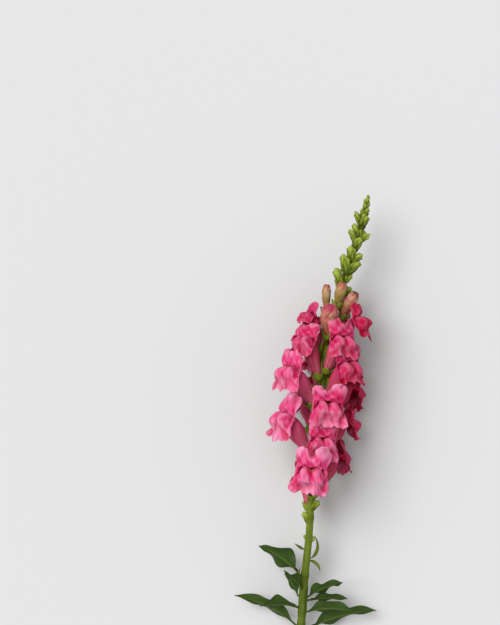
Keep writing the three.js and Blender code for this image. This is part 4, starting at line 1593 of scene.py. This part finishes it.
@dataclass
class GreenBuds(Piece):
    """The closed green buds, each wrapped in the five pointed lobes of its calyx.

    In its methods t is the share along a bud, and off is how far a place lies from the
    middle of its lobe, from 0 to 1.
    """

    buds: Sequence[GreenBud] = ()
    skins: list[Array] = field(default_factory=list)
    # The grid of points, and the outline, which ends in a hook.
    sides: int = 40
    rows: int = 30
    profile: tuple[float, ...] = (0.3, 0.78, 1.0, 1.04, 0.97, 0.8, 0.36)
    foot: float = 0.8
    foot_share: float = 0.6
    foot_cap: float = 0.2
    hook: float = 0.3
    hook_power: float = 2.2
    # The lobes of the calyx, with grooves between them.
    lobes: int = 5
    lobe_long: float = 0.84
    lobe_vary: float = 0.07
    lobe_vary_rates: tuple[float, float] = (7.1, 3.3)
    lobe_point: float = 0.42
    lobe_power: float = 1.6
    lobe_edge: Rise = Rise(-0.03, 0.03)
    groove: Rise = Rise(0.05, 0.4, 0.34)
    step: Rise = Rise(0.1, 0.3, 0.2)
    point_swell: float = 0.2
    point_long: float = 0.07
    # How far the bud is from round.
    oval: float = 0.06
    oval_turn: float = 9.0
    # The streaks and the shares of colour.
    flow_step: float = 5.0
    young: float = 0.05
    young_rise: Rise = Rise(0.1, 0.8, 0.4)
    young_petals: float = 0.6
    # Painted shade: the grooves between the lobes are darkened.
    lobe_groove_painted_shade: Rise = Rise(0.1, 0.5)
    dark_point: float = 0.9
    dark_point_long: float = 0.06
    dark_foot: float = 0.8
    dark_foot_end: Rise = Rise(0.0, 0.4)
    dark_vary: float = 0.35
    pale_petals: Rise = Rise(0.5, 0.8, 0.6)
    # The pale ridge down the middle of each lobe: partly its rib, partly a painted highlight.
    pale_rib_and_highlight: Rise = Rise(0.2, 0.5, 0.35)
    cap_tint: Tint = (0.6, 0.5, 0)

    def shape(self) -> Shape:
        """Returns all the green buds."""
        shape = Shape()
        for seed, bud in enumerate(self.buds):
            self.add_bud(shape, bud, seed)
        return shape

    def add_bud(self, shape: Shape, bud: GreenBud, seed: int) -> None:
        """Adds one bud, with the pointed lobes of its calyx laid over its paler petals.

        Args:
            shape: What it is added to.
            bud: The bud's place and sizes.
            seed: What its lobes are drawn by.
        """
        t = np.linspace(0, 1, self.rows)[:, None]
        angle = around(self.sides)[None]
        turn = self.lobes * (angle / FULL_TURN + draw(seed + BudDraw.START)) + 0.5
        off = np.abs(turn % 1 - 0.5) * 2
        by_lobe, by_seed = self.lobe_vary_rates
        own = np.sin(by_lobe * np.floor(turn) + by_seed * seed)
        lobe_end = self.lobe_long + self.lobe_vary * own - self.lobe_point * off**self.lobe_power
        cover = self.lobe_edge.at(lobe_end - t)
        radius = bud.wide / 2 * smooth_list(self.profile, t * (len(self.profile) - 1))
        radius = radius * (1 - off**2 * cover * self.groove.at(t))
        radius = radius * (1 + (cover - 0.5) * self.step.at(t))
        radius = radius + self.point_swell * bud.wide * bell(t, lobe_end, self.point_long) * (1 - off) ** 2
        oval = np.sin(2 * angle + self.oval_turn * draw(seed + BudDraw.OVAL))
        radius = radius * (1 + self.oval * oval)
        bend = self.hook * bud.wide * t**self.hook_power
        along = -self.foot + t * (bud.long + self.foot * self.foot_share)
        points = together(np.cos(angle) * radius, along, bend - np.sin(angle) * radius)
        matrix = LINE.place(bud.height, bud.bearing) @ rotation(0, bud.lean)
        self.skins.append(placed(points, matrix))
        flow = ring_flow(angle, along + self.flow_step * seed)
        rows = shape.add_points(self.skins[-1], flow=flow, tint=self.tint(t, off, lobe_end, seed))
        ends = np.array([[0, -self.foot - self.foot_cap, 0], [0, bud.long, self.hook * bud.wide]])
        caps = shape.add_points(placed(ends, matrix), tint=np.array(self.cap_tint))
        shape.join_tube(rows, caps[:1], caps[1:])

    def tint(self, t: Array, off: Array, lobe_end: Array, seed: int) -> Array:
        """The shares of colour that the bud's finish reads.

        Args:
            t: The share along the bud.
            off: How far each place lies from the middle of its lobe.
            lobe_end: The share along the bud at which the lobe ends there.
            seed: What the bud's darkness is drawn by.

        Returns:
            The shares of young, dark and pale.
        """
        cover = self.lobe_edge.at(lobe_end - t)
        young = self.young + self.young_rise.at(t) + self.young_petals * (1 - cover)
        # Painted shade darkens the grooves between the lobes.
        dark = off**2 * cover * self.lobe_groove_painted_shade.at(t)
        dark = dark + self.dark_point * bell(t, lobe_end, self.dark_point_long) * (1 - off)
        dark = dark + self.dark_foot * (1 - self.dark_foot_end.at(t))
        dark = dark + self.dark_vary * draw(seed + BudDraw.DARK)
        # Paler petals between the lobes, and a paler lobe ridge that is partly a painted highlight.
        pale = (1 - cover) * self.pale_petals.at(t) + (1 - off) ** 4 * cover * self.pale_rib_and_highlight.at(t)
        return np.clip(together(young, dark, pale), 0, 1)


@dataclass(frozen=True)
class Blade:
    """One leaf or bract: where it stands, its sizes, and how it bends, turns and waves."""

    height: float
    bearing: float
    long: float
    wide: float
    lift: float
    droop: float
    sweep: float = 0.0
    roll: float = 0.0
    wave: float = 0.0
    fold: float = 0.2
    twist_by: float = 0.4

    def rib(self, rows: int) -> tuple[Array, Array, Array, Array]:
        """The blade's middle rib.

        Args:
            rows: How many places along it are wanted.

        Returns:
            The shares along it, its points, and the directions across and above it there.
        """
        t = np.linspace(0, 1, rows)
        bend = np.radians(self.lift + self.droop * t)
        yaw = np.radians(self.sweep * t)
        way = together(np.sin(bend) * np.sin(yaw), np.cos(bend), np.sin(bend) * np.cos(yaw))
        steps = way[:-1] * self.long / (rows - 1)
        points = np.vstack([np.zeros(3), np.cumsum(steps, axis=0)])
        across = together(np.cos(yaw), 0, -np.sin(yaw))
        twist = (math.radians(self.roll) * ease(t, 0, self.twist_by))[:, None]
        dot = np.sum(way * across, axis=1, keepdims=True)
        turned = across * np.cos(twist) + np.cross(way, across) * np.sin(twist)
        across = turned + way * dot * (1 - np.cos(twist))
        return t, points, across, np.cross(way, across)

    def place(self) -> Array:
        """Returns the frame of the blade's foot on the stem's line, as a 4x4 matrix."""
        return LINE.place(self.height, self.bearing)


@dataclass
class Leaf(Piece):
    """A lance-shaped leaf, folded up along its rib, with waved edges and raised veins.

    In its methods t is the share along the leaf, and s the place across it, from -1 to 1.
    """

    blade: Blade
    seed: int
    # The grid of points, and the outline.
    rows: int = 90
    columns: int = 29
    outline: tuple[float, ...] = (0.16, 0.34, 0.78, 1, 0.94, 0.72, 0.4, 0)
    uneven: float = 0.13
    uneven_rates: tuple[float, float, float] = (9, 3, 5)
    least_half: float = 0.35
    foot_flare: float = 1.6
    foot_end: Rise = Rise(0, 0.1)
    # The waves of the edges, and the crease along the rib.
    waves: float = 3.6
    wave_slant: float = 0.5
    ripple: float = 1.6
    fine: float = 0.22
    fine_rates: tuple[float, float] = (9, 5)
    crease: float = 1.9
    crease_round: float = 0.1
    # The side veins.
    side_veins: int = 9
    vein_slant: float = 1.9
    vein_reach: float = 1.1
    quilt: Rise = Rise(0.5, 1.0, 0.12)
    # The thickness, and the rib that stands out below.
    thickness: float = 0.6
    thinning: float = 0.6
    rib_depth: float = 0.5
    rib_above: float = 0.4
    rib_width: float = 0.09
    # How the foot reaches back into the stem.
    seat: float = 0.8
    foot_place: Place = (0, -0.6, 0.2)
    foot_spread: float = 1.2
    # The streaks and the shares of colour.
    rib_line: float = 0.07
    rib_line_foot: float = 0.05
    rib_fade: float = 0.5
    young: float = 0.5
    young_end: Rise = Rise(0.0, 0.18)
    mark_rate: float = 0.05
    flow_rate: float = 6.0

    def shape(self) -> Shape:
        """Returns the leaf, whose foot reaches back into the stem."""
        t, points, across, above = self.blade.rib(self.rows)
        s = np.linspace(-1, 1, self.columns)[None]
        t = t[:, None]
        half = self.half_width(t, s)
        lifted = self.lift(t, s, half)
        spot = points[:, None] + across[:, None] * (s * half)[..., None] + above[:, None] * lifted[..., None]
        thick = self.thickness * (1 - self.thinning * np.abs(s) ** 3) / 2
        rib = self.rib_depth * (1 - t) * bell(s, 0, self.rib_width)
        normal = normals_of(spot, ring=False)
        normal *= np.sign(np.sum(normal * above[:, None], axis=-1, keepdims=True))
        upper = spot + normal * (thick - self.rib_above * rib)[..., None]
        lower = spot - normal * (thick + rib)[..., None]
        place = self.blade.place()
        matrix = place @ translation(0, 0, float(LINE.radius(self.blade.height)) + self.seat)
        stem_side = placed(np.array([self.foot_place]), place)[0]
        shape = Shape()
        numbers = []
        for side, under in ((upper, 0.0), (lower, 1.0)):
            carried = placed(side, matrix)
            foot = stem_side + (carried[0] - carried[0].mean(axis=0)) * self.foot_spread
            carried = np.concatenate([foot[None], carried])
            numbers.append(shape.add_points(carried, **self.values(t, s, under)))
        shape.join_slab(*numbers)
        return shape

    def half_width(self, t: Array, s: Array) -> Array:
        """Half the leaf's width, a little uneven, and never quite nothing.

        Args:
            t: The share along the leaf.
            s: The place across it.

        Returns:
            The half width, in millimetres.
        """
        outline = smooth_list(self.outline, t * (len(self.outline) - 1))
        along, across, by_seed = self.uneven_rates
        outline = outline * (1 + self.uneven * np.sin(along * t + across * s + by_seed * self.seed))
        least = self.least_half * (1 + self.foot_flare * (1 - self.foot_end.at(t)))
        return np.maximum(outline * self.blade.wide / 2, least)

    def lift(self, t: Array, s: Array, half: Array) -> Array:
        """How far each place is lifted off the rib by the fold, the ripples and the veins.

        Args:
            t: The share along the leaf.
            s: The place across it.
            half: Half the leaf's width there.

        Returns:
            The lift, in millimetres.
        """
        phase = math.pi * (self.waves * t + self.wave_slant * s) + FULL_TURN * draw(self.seed)
        calm_ends = np.sin(math.pi * t)
        ripple = self.ripple * self.blade.wave * s * s * np.sin(phase) * calm_ends
        along, across = self.fine_rates
        fine = self.fine * np.abs(s) ** 3 * np.sin(along * math.pi * t + across * s + self.seed) * calm_ends
        bend = np.sqrt(s * s + self.crease_round**2) - self.crease_round
        vein = self.quilt.at(np.cos(FULL_TURN * self.vein_place(t, s)))
        vein = vein * np.sin(math.pi * np.minimum(np.abs(s) * self.vein_reach, 1))
        return self.crease * self.blade.fold * half * bend + ripple + fine - vein

    def vein_place(self, t: Array, s: Array) -> Array:
        """Returns the place among the side veins, where each whole number is a vein."""
        return self.side_veins * t - self.vein_slant * np.abs(s)

    def values(self, t: Array, s: Array, under: float) -> dict[str, Array]:
        """The shares that the leaf's finish reads.

        Args:
            t: The share along the leaf, to which a row is added for the foot.
            s: The place across it.
            under: 1 on the leaf's lower side, and 0 on its upper one.

        Returns:
            The values of flow, tint and mark.
        """
        t = np.vstack([t[:1], t])
        width = self.rib_line + self.rib_line_foot * (1 - t)
        rib = bell(s, 0, width) * (1 - self.rib_fade * t)
        young = self.young * (1 - self.young_end.at(t))
        return {
            "flow": together(s, 0, t * self.flow_rate + self.seed),
            "tint": together(rib, under, young),
            "mark": together(self.vein_place(t, s) * self.mark_rate, 0, self.seed),
        }


@dataclass
class Bracts(Piece):
    """The small leaves below the flowers and on the bare stem."""

    blades: Sequence[Blade] = ()
    # The grid of points, the outline and the thickness.
    rows: int = 18
    columns: int = 9
    foot: float = 0.2
    least_half: float = 0.06
    wave: float = 0.15
    wave_rate: float = 6.0
    thickness: float = 0.5
    thinning: float = 0.7
    seat_share: float = 0.5
    # The streaks and the shares of colour.
    young: float = 0.3
    dark: float = 0.75
    pale: float = 0.1
    rib: Hill = Hill(0, 0.2, 0.5)
    flow_rate: float = 4.0

    def shape(self) -> Shape:
        """Returns all the bracts."""
        shape = Shape()
        for seed, blade in enumerate(self.blades):
            self.add_bract(shape, blade, seed)
        return shape

    def add_bract(self, shape: Shape, blade: Blade, seed: int) -> None:
        """Adds one bract, a thin lance shape with a shallow keel.

        Args:
            shape: What it is added to.
            blade: Its place and sizes.
            seed: What its wave starts from.
        """
        t, points, across, above = blade.rib(self.rows)
        s = np.linspace(-1, 1, self.columns)[None]
        t = t[:, None]
        half = np.sin(math.pi * (self.foot + (1 - self.foot) * t)) * blade.wide / 2
        half = np.maximum(half, self.least_half)
        lifted = blade.fold * half * np.abs(s) + self.wave * half * np.sin(self.wave_rate * t + seed) * s * s
        spot = points[:, None] + across[:, None] * (s * half)[..., None] + above[:, None] * lifted[..., None]
        thick = (self.thickness * (1 - self.thinning * s * s) / 2)[..., None] * above[:, None]
        seat = float(LINE.radius(blade.height)) * self.seat_share
        matrix = blade.place() @ translation(0, 0, seat)
        values = {
            "flow": together(s, 0, t * self.flow_rate + seed),
            "tint": together(self.young * (1 - t), self.dark, self.pale),
            "mark": together(0, self.rib.at(s) * (1 - t), 0),
        }
        upper = shape.add_points(placed(spot + thick, matrix), **values)
        lower = shape.add_points(placed(spot - thick, matrix), **values)
        shape.join_slab(upper, lower)


@dataclass
class Hairs(Piece):
    """The short fine hairs on the upper stem, the calyces and the green buds."""

    skins: list[Array] = field(default_factory=list)
    seed: int = 7
    count: int = 9000
    sides: int = 3
    long: Range = (0.35, 0.85)
    radius: float = 0.035
    sink: float = 0.1
    stray: float = 0.225
    tint: Tint = (0.8, 0.0, 1.0)

    def shape(self) -> Shape:
        """Returns the hairs, each a spike with three sides, spread evenly over the skins."""
        chance = np.random.default_rng(self.seed)
        parts = [self.patches(skin) for skin in self.skins]
        corners = np.concatenate([part[0] for part in parts])
        outward = np.concatenate([part[1] for part in parts])
        areas = np.linalg.norm(outward, axis=-1)
        chosen = chance.choice(len(areas), self.count, p=areas / areas.sum())
        u, v = chance.random((2, self.count, 1))
        a, b, c, d = np.moveaxis(corners[chosen], 1, 0)
        roots = (1 - u) * (1 - v) * a + u * (1 - v) * b + u * v * c + (1 - u) * v * d
        way = unit(unit(outward[chosen]) + self.stray * chance.normal(size=(self.count, 3)))
        side = unit(np.cross(way, unit(b - a)))
        cross = np.cross(way, side)
        angle = around(self.sides)[None, :, None]
        ring = (np.cos(angle) * side[:, None] + np.sin(angle) * cross[:, None]) * self.radius
        feet = (roots - self.sink * way)[:, None] + ring
        tips = roots + way * chance.uniform(*self.long, size=(self.count, 1))
        shape = Shape()
        tint = np.array(self.tint)
        numbers = shape.add_points(feet, tint=tint)
        ends = shape.add_points(tips, tint=tint)
        for k in range(self.sides):
            shape.faces.append(together(numbers[:, k], numbers[:, (k + 1) % self.sides], ends))
        shape.faces.append(numbers[:, ::-1])
        return shape

    @staticmethod
    def patches(skin: Array) -> tuple[Array, Array]:
        """The patches of a skin.

        Args:
            skin: The skin's points, one closed ring after another.

        Returns:
            The four corners of each patch, and its area as a vector that points outward.
        """
        after = np.roll(skin, -1, axis=1)
        corners = np.stack([skin[:-1], after[:-1], after[1:], skin[1:]], axis=2)
        area = np.cross(corners[:, :, 2] - corners[:, :, 0], corners[:, :, 3] - corners[:, :, 1])
        out = corners.mean(axis=2) - corners.mean(axis=(1, 2))[:, None]
        area *= np.sign(np.sum(area * out, axis=-1, keepdims=True))
        return corners.reshape(-1, 4, 3), area.reshape(-1, 3)


# ---------------------------------------------------------------- where everything stands


BLOOM_PLACES = (
    Flower(165, 1, 1.12, lean=16, turn=-6),
    Flower(150, -165, 0.83, lean=-16),
    Flower(165, 130, 0.98, lean=-4, turn=8),
    Flower(182, 4, 0.98, lean=-1, turn=5),
    Flower(190, 165, 0.93, lean=-7),
    Flower(193, -46, 1.12, lean=0, turn=-16),
    Flower(200, 118, 0.86, lean=0, turn=-8),
    Flower(207, 12, 1.12, lean=2, turn=-3),
    Flower(211, -146, 1.0, lean=-9),
    Flower(225, 132, 1.0, lean=7),
    Flower(233, -38, 1.1, lean=5, turn=-16),
    Flower(238, 44, 1.06, lean=-3, turn=-4),
    Flower(243, -168, 0.94, lean=-11.5),
    Flower(252, 130, 0.88, lean=-6),
    Flower(262, 21, 0.98, lean=0, turn=6),
    Flower(256, -28, 0.94, lean=-11, turn=-16),
    Flower(268, -142, 0.86, lean=-6),
    Flower(273, 168, 0.9, lean=-5),
    Flower(276, 80, 0.96, lean=-12, turn=-6),
    Flower(278, -64, 0.86, lean=-14, open=0.7),
)

# How far each bloom is darkened, from 0 to 1: partly how old it is, and partly painted shade, mostly on the
# blooms on the side away from the lamp.
BLOOM_AGE_AND_SHADE = (
    0.0, 0.6, 0.8, 0.2, 0.4, 0.05, 0.8, 0.1, 0.5, 0.9, 0.05, 0.65, 0.3, 0.6, 0.4, 0.4, 0.5, 0.4, 1.0, 0.6,
)

# How much longer the upper lip's lobes are than the net's, where the neighbours leave room.
BLOOM_EARS = (
    3.0, 2.2, 2.2, 2.2, 2.2, 3.0, 0.0, 0.4, 2.2, 1.2, 3.0, 2.2, -0.8, -1.6, 2.6, 2.2, 2.2, 2.2, 0.4, 2.2,
)

BUD_PLACES = (
    Flower(289, -10, 0.78, lean=-8, open=0, plump=1.34, calyx=0.9),
    Flower(297, 150, 0.78, lean=-6, open=0, calyx=0.9),
    Flower(305, 60, 0.66, lean=-18, open=0, plump=1.12, calyx=0.85),
    Flower(306, -80, 0.62, lean=-24, open=0, plump=0.9, calyx=0.8),
    Flower(312, 176, 0.58, lean=-14, open=0, calyx=0.8),
    Flower(313, -2, 0.56, lean=-24, open=0, plump=1.14, calyx=0.8),
)

# The pink, green, pale and dark tip of each coloured bud.
BUD_TINTS = (
    (1.0, 0.0, 0.9, 0.0),
    (0.9, 0.4, 0.4, 0.0),
    (0.95, 0.3, 0.8, 0.9),
    (0.45, 0.5, 0.7, 0.2),
    (0.5, 0.6, 0.4, 0.2),
    (0.4, 0.8, 0.9, 0.1),
)

GREEN_BUD_PLACES = (
    GreenBud(129, 84, 8, 3.4, 34),
    GreenBud(130, -86, 7, 3.2, 30),
    GreenBud(144, -80, 12, 5.0, 22),
    GreenBud(155, 74, 11, 6.0, 26),
    GreenBud(326, 118, 13, 6.2, 28),
    GreenBud(330, -126, 13, 6.2, 28),
    GreenBud(333, -66, 18, 7.6, 31),
    GreenBud(337, 112, 10, 4.6, 16),
    GreenBud(341, 170, 13, 6.4, 26),
    GreenBud(344, -52, 18, 7.4, 26),
    GreenBud(345, 72, 14, 7.4, 18),
    GreenBud(352, 176, 12, 6.0, 26),
    GreenBud(354, -34, 15, 6.8, 24),
    GreenBud(354, 58, 12, 6.0, 32),
    GreenBud(362, -160, 11, 5.6, 24),
    GreenBud(364, 12, 12, 6.2, 14),
    GreenBud(368, -82, 14, 4.8, 36),
    GreenBud(370, 86, 12, 5.0, 32),
    GreenBud(372, 152, 10, 5.0, 22),
    GreenBud(373, -112, 13, 6.0, 26),
    GreenBud(380, 170, 9, 5.0, 22),
    GreenBud(382, -86, 14, 4.6, 28),
    GreenBud(383, 32, 10, 5.8, 16),
)


def tip_buds() -> list[GreenBud]:
    """Returns the buds of the very tip, set round it at the golden angle."""
    count, start, pitch, golden_angle = 10, 386, 1.8, 137.5
    long, wide, lean, shrink = 8.2, 4.1, 16, 0.035
    buds = []
    for k in range(count):
        size = 1 - shrink * k
        buds.append(GreenBud(start + pitch * k, golden_angle * k, long * size, wide * size, lean * size))
    return buds


def flower_bract(flower: Flower) -> Blade:
    """Returns the small bract just below a flower's stalk."""
    below = 2
    return Blade(flower.height - below, flower.bearing, long=8, wide=3.2, lift=40, droop=34)


STRAY_BRACTS = (
    Blade(98, -48, 15, 2.4, 62, -96, roll=60),
    Blade(115, 66, 15, 2.8, 74, 100, roll=60),
    Blade(116, 80, 24, 3.4, 58, -110, roll=60),
    Blade(123, -82, 11, 2.8, 72, -20, roll=60),
)

LEAF_PLACES = (
    Blade(58, 96, 60, 14, 54, 30, sweep=-6, roll=-62, wave=1.6, fold=0.25),
    Blade(62, -94, 56, 13, 52, 34, sweep=6, roll=60, wave=1.4, fold=0.25),
    Blade(74, 62, 44, 15, 66, 26, roll=-50, wave=1.6, fold=0.2),
    Blade(77, -60, 36, 12, 72, 26, roll=50, wave=1.4, fold=0.3),
    Blade(83, 88, 32, 9, 76, 14, roll=-60, wave=1.2, fold=0.25),
    Blade(86, 60, 36, 13, 50, 22, roll=-40, wave=1.4, fold=0.2),
    Blade(86, -78, 25, 7, 30, 4, roll=60, wave=0.6, fold=0.3),
    Blade(103, -84, 42, 16, 44, 30, roll=66, wave=1.8, fold=0.2),
    Blade(92, -28, 30, 9, 40, 34, sweep=-16, roll=20, wave=1.2, fold=0.25),
)

# The seeds of the first bloom, the first coloured bud and the first leaf.
BLOOM_SEED, BUD_SEED, LEAF_SEED = 1, 51, 71


# ---------------------------------------------------------------- the studio


@dataclass
class Studio:
    """A plain pale floor, a soft lamp, an even surround and the camera.

    The camera hangs over the lying stem and looks straight down, with +Y up the picture.
    """

    floor_half: float = 30.0
    floor_colour: Colour = srgb("B9B9B9")
    floor_roughness: Range = (0.85, 1.0)
    surround: float = 0.8
    lamp: float = 3.12
    lamp_angle: float = 40.0
    lamp_from: Place = (-0.48, 0.3, 0.95)
    look_at: Place = (-0.0445, 0.1112, 0.036)
    distance: float = 4.0
    view_high: float = 0.5
    sensor: float = 36.0
    sight_end: float = 100.0

    def build(self) -> None:
        """Adds the floor, the lights and the camera."""
        self.add_floor()
        self.add_lights()
        self.add_camera()

    def add_floor(self) -> None:
        """Adds the floor, a wide flat sheet with a fine matt grain."""
        material, wiring = start_material("floor")
        place = wiring.add("ShaderNodeTexCoord").outputs["Object"]
        grain = wiring.add("ShaderNodeTexNoise", {"Vector": place, "Scale": 300.0, "Detail": 2.0})
        shader = wiring.add("ShaderNodeBsdfPrincipled", {"Base Color": self.floor_colour})
        shader.inputs["Specular IOR Level"].default_value = 0.0
        rough = wiring.spread(grain.outputs["Fac"], *self.floor_roughness)
        wiring.tree.links.new(rough, shader.inputs["Roughness"])
        out = wiring.add("ShaderNodeOutputMaterial", {"Surface": shader.outputs[0]})
        out.is_active_output = True
        mesh = bpy.data.meshes.new("floor")
        half = self.floor_half
        corners = [(-half, -half, 0), (half, -half, 0), (half, half, 0), (-half, half, 0)]
        mesh.from_pydata(corners, [], [(0, 1, 2, 3)])
        mesh.materials.append(material)
        floor = bpy.data.objects.new("floor", mesh)
        bpy.context.scene.collection.objects.link(floor)

    def add_lights(self) -> None:
        """Adds the soft lamp and the even light from all around."""
        lamp = bpy.data.lights.new("lamp", "SUN")
        lamp.energy = self.lamp
        lamp.angle = math.radians(self.lamp_angle)
        stand = bpy.data.objects.new("lamp", lamp)
        stand.rotation_euler = Vector(self.lamp_from).to_track_quat("Z", "Y").to_euler()
        bpy.context.scene.collection.objects.link(stand)
        world = bpy.data.worlds.new("surround")
        world.use_nodes = True
        background = world.node_tree.nodes["Background"]
        background.inputs["Color"].default_value = (1, 1, 1, 1)
        background.inputs["Strength"].default_value = self.surround
        bpy.context.scene.world = world
        bpy.context.scene.view_settings.view_transform = "Standard"

    def add_camera(self) -> None:
        """Adds the camera, whose long side takes in view_high at the stem."""
        camera = bpy.data.cameras.new("camera")
        camera.sensor_width = self.sensor
        camera.lens = self.sensor * self.distance / self.view_high
        camera.clip_end = self.sight_end
        stand = bpy.data.objects.new("camera", camera)
        stand.location = Vector(self.look_at) + Vector((0, 0, self.distance))
        bpy.context.scene.collection.objects.link(stand)
        bpy.context.scene.camera = stand


# ---------------------------------------------------------------- everything together


def numbered(stem_name: str, index: int) -> str:
    """Returns the name of a node by its place in a list."""
    return f"{stem_name}_{index + 1:02d}"


def plan_pieces() -> list[Piece]:
    """Returns every piece of the plant, ready to build."""
    effects = Effects()
    petal = PetalFinish().made(effects)
    bud = BudFinish().made(effects)
    green = GreenFinish().made(effects)
    leaf = LeafFinish().made(effects)
    flowers = [*BLOOM_PLACES, *BUD_PLACES]
    bracts = [*(flower_bract(flower) for flower in flowers), *STRAY_BRACTS]
    joints = [*(flower.height for flower in flowers), *(blade.height for blade in LEAF_PLACES)]
    buds = [*GREEN_BUD_PLACES, *tip_buds()]
    skins: list[Array] = []
    pieces: list[Piece] = [
        Axis("axis", "stem", Slot.STEM, green, joints=joints, skins=skins),
        Calyces("calyces", "stem", Slot.STEM, green, flowers=flowers, skins=skins),
        GreenBuds("green_buds", "stem", Slot.STEM, green, buds=buds, skins=skins),
        Bracts("bracts", "stem", Slot.STEM, green, blades=bracts),
        Hairs("hairs", "stem", Slot.STEM, green, skins=skins),
    ]
    for index, flower in enumerate(BLOOM_PLACES):
        node = numbered("bloom", index)
        own = flower, BLOOM_SEED + index, BLOOM_AGE_AND_SHADE[index], BLOOM_EARS[index]
        pieces.append(Bloom(f"{node}_petals", node, Slot.PETAL, petal, *own))
    for index, (flower, tints) in enumerate(zip(BUD_PLACES, BUD_TINTS)):
        node = numbered("bud", index)
        pieces.append(Bud(f"{node}_petals", node, Slot.BUD, bud, flower, BUD_SEED + index, *tints))
    for index, blade in enumerate(LEAF_PLACES):
        node = numbered("leaf", index)
        pieces.append(Leaf(f"{node}_blade", node, Slot.LEAF, leaf, blade, LEAF_SEED + index))
    return pieces


def main() -> None:
    """Builds the stem in its finished look, with its studio."""
    logging.basicConfig(level=logging.INFO, format="%(message)s")
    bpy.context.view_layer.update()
    for piece in plan_pieces():
        piece.build()
    Studio().build()


if __name__ == "__main__":
    main()
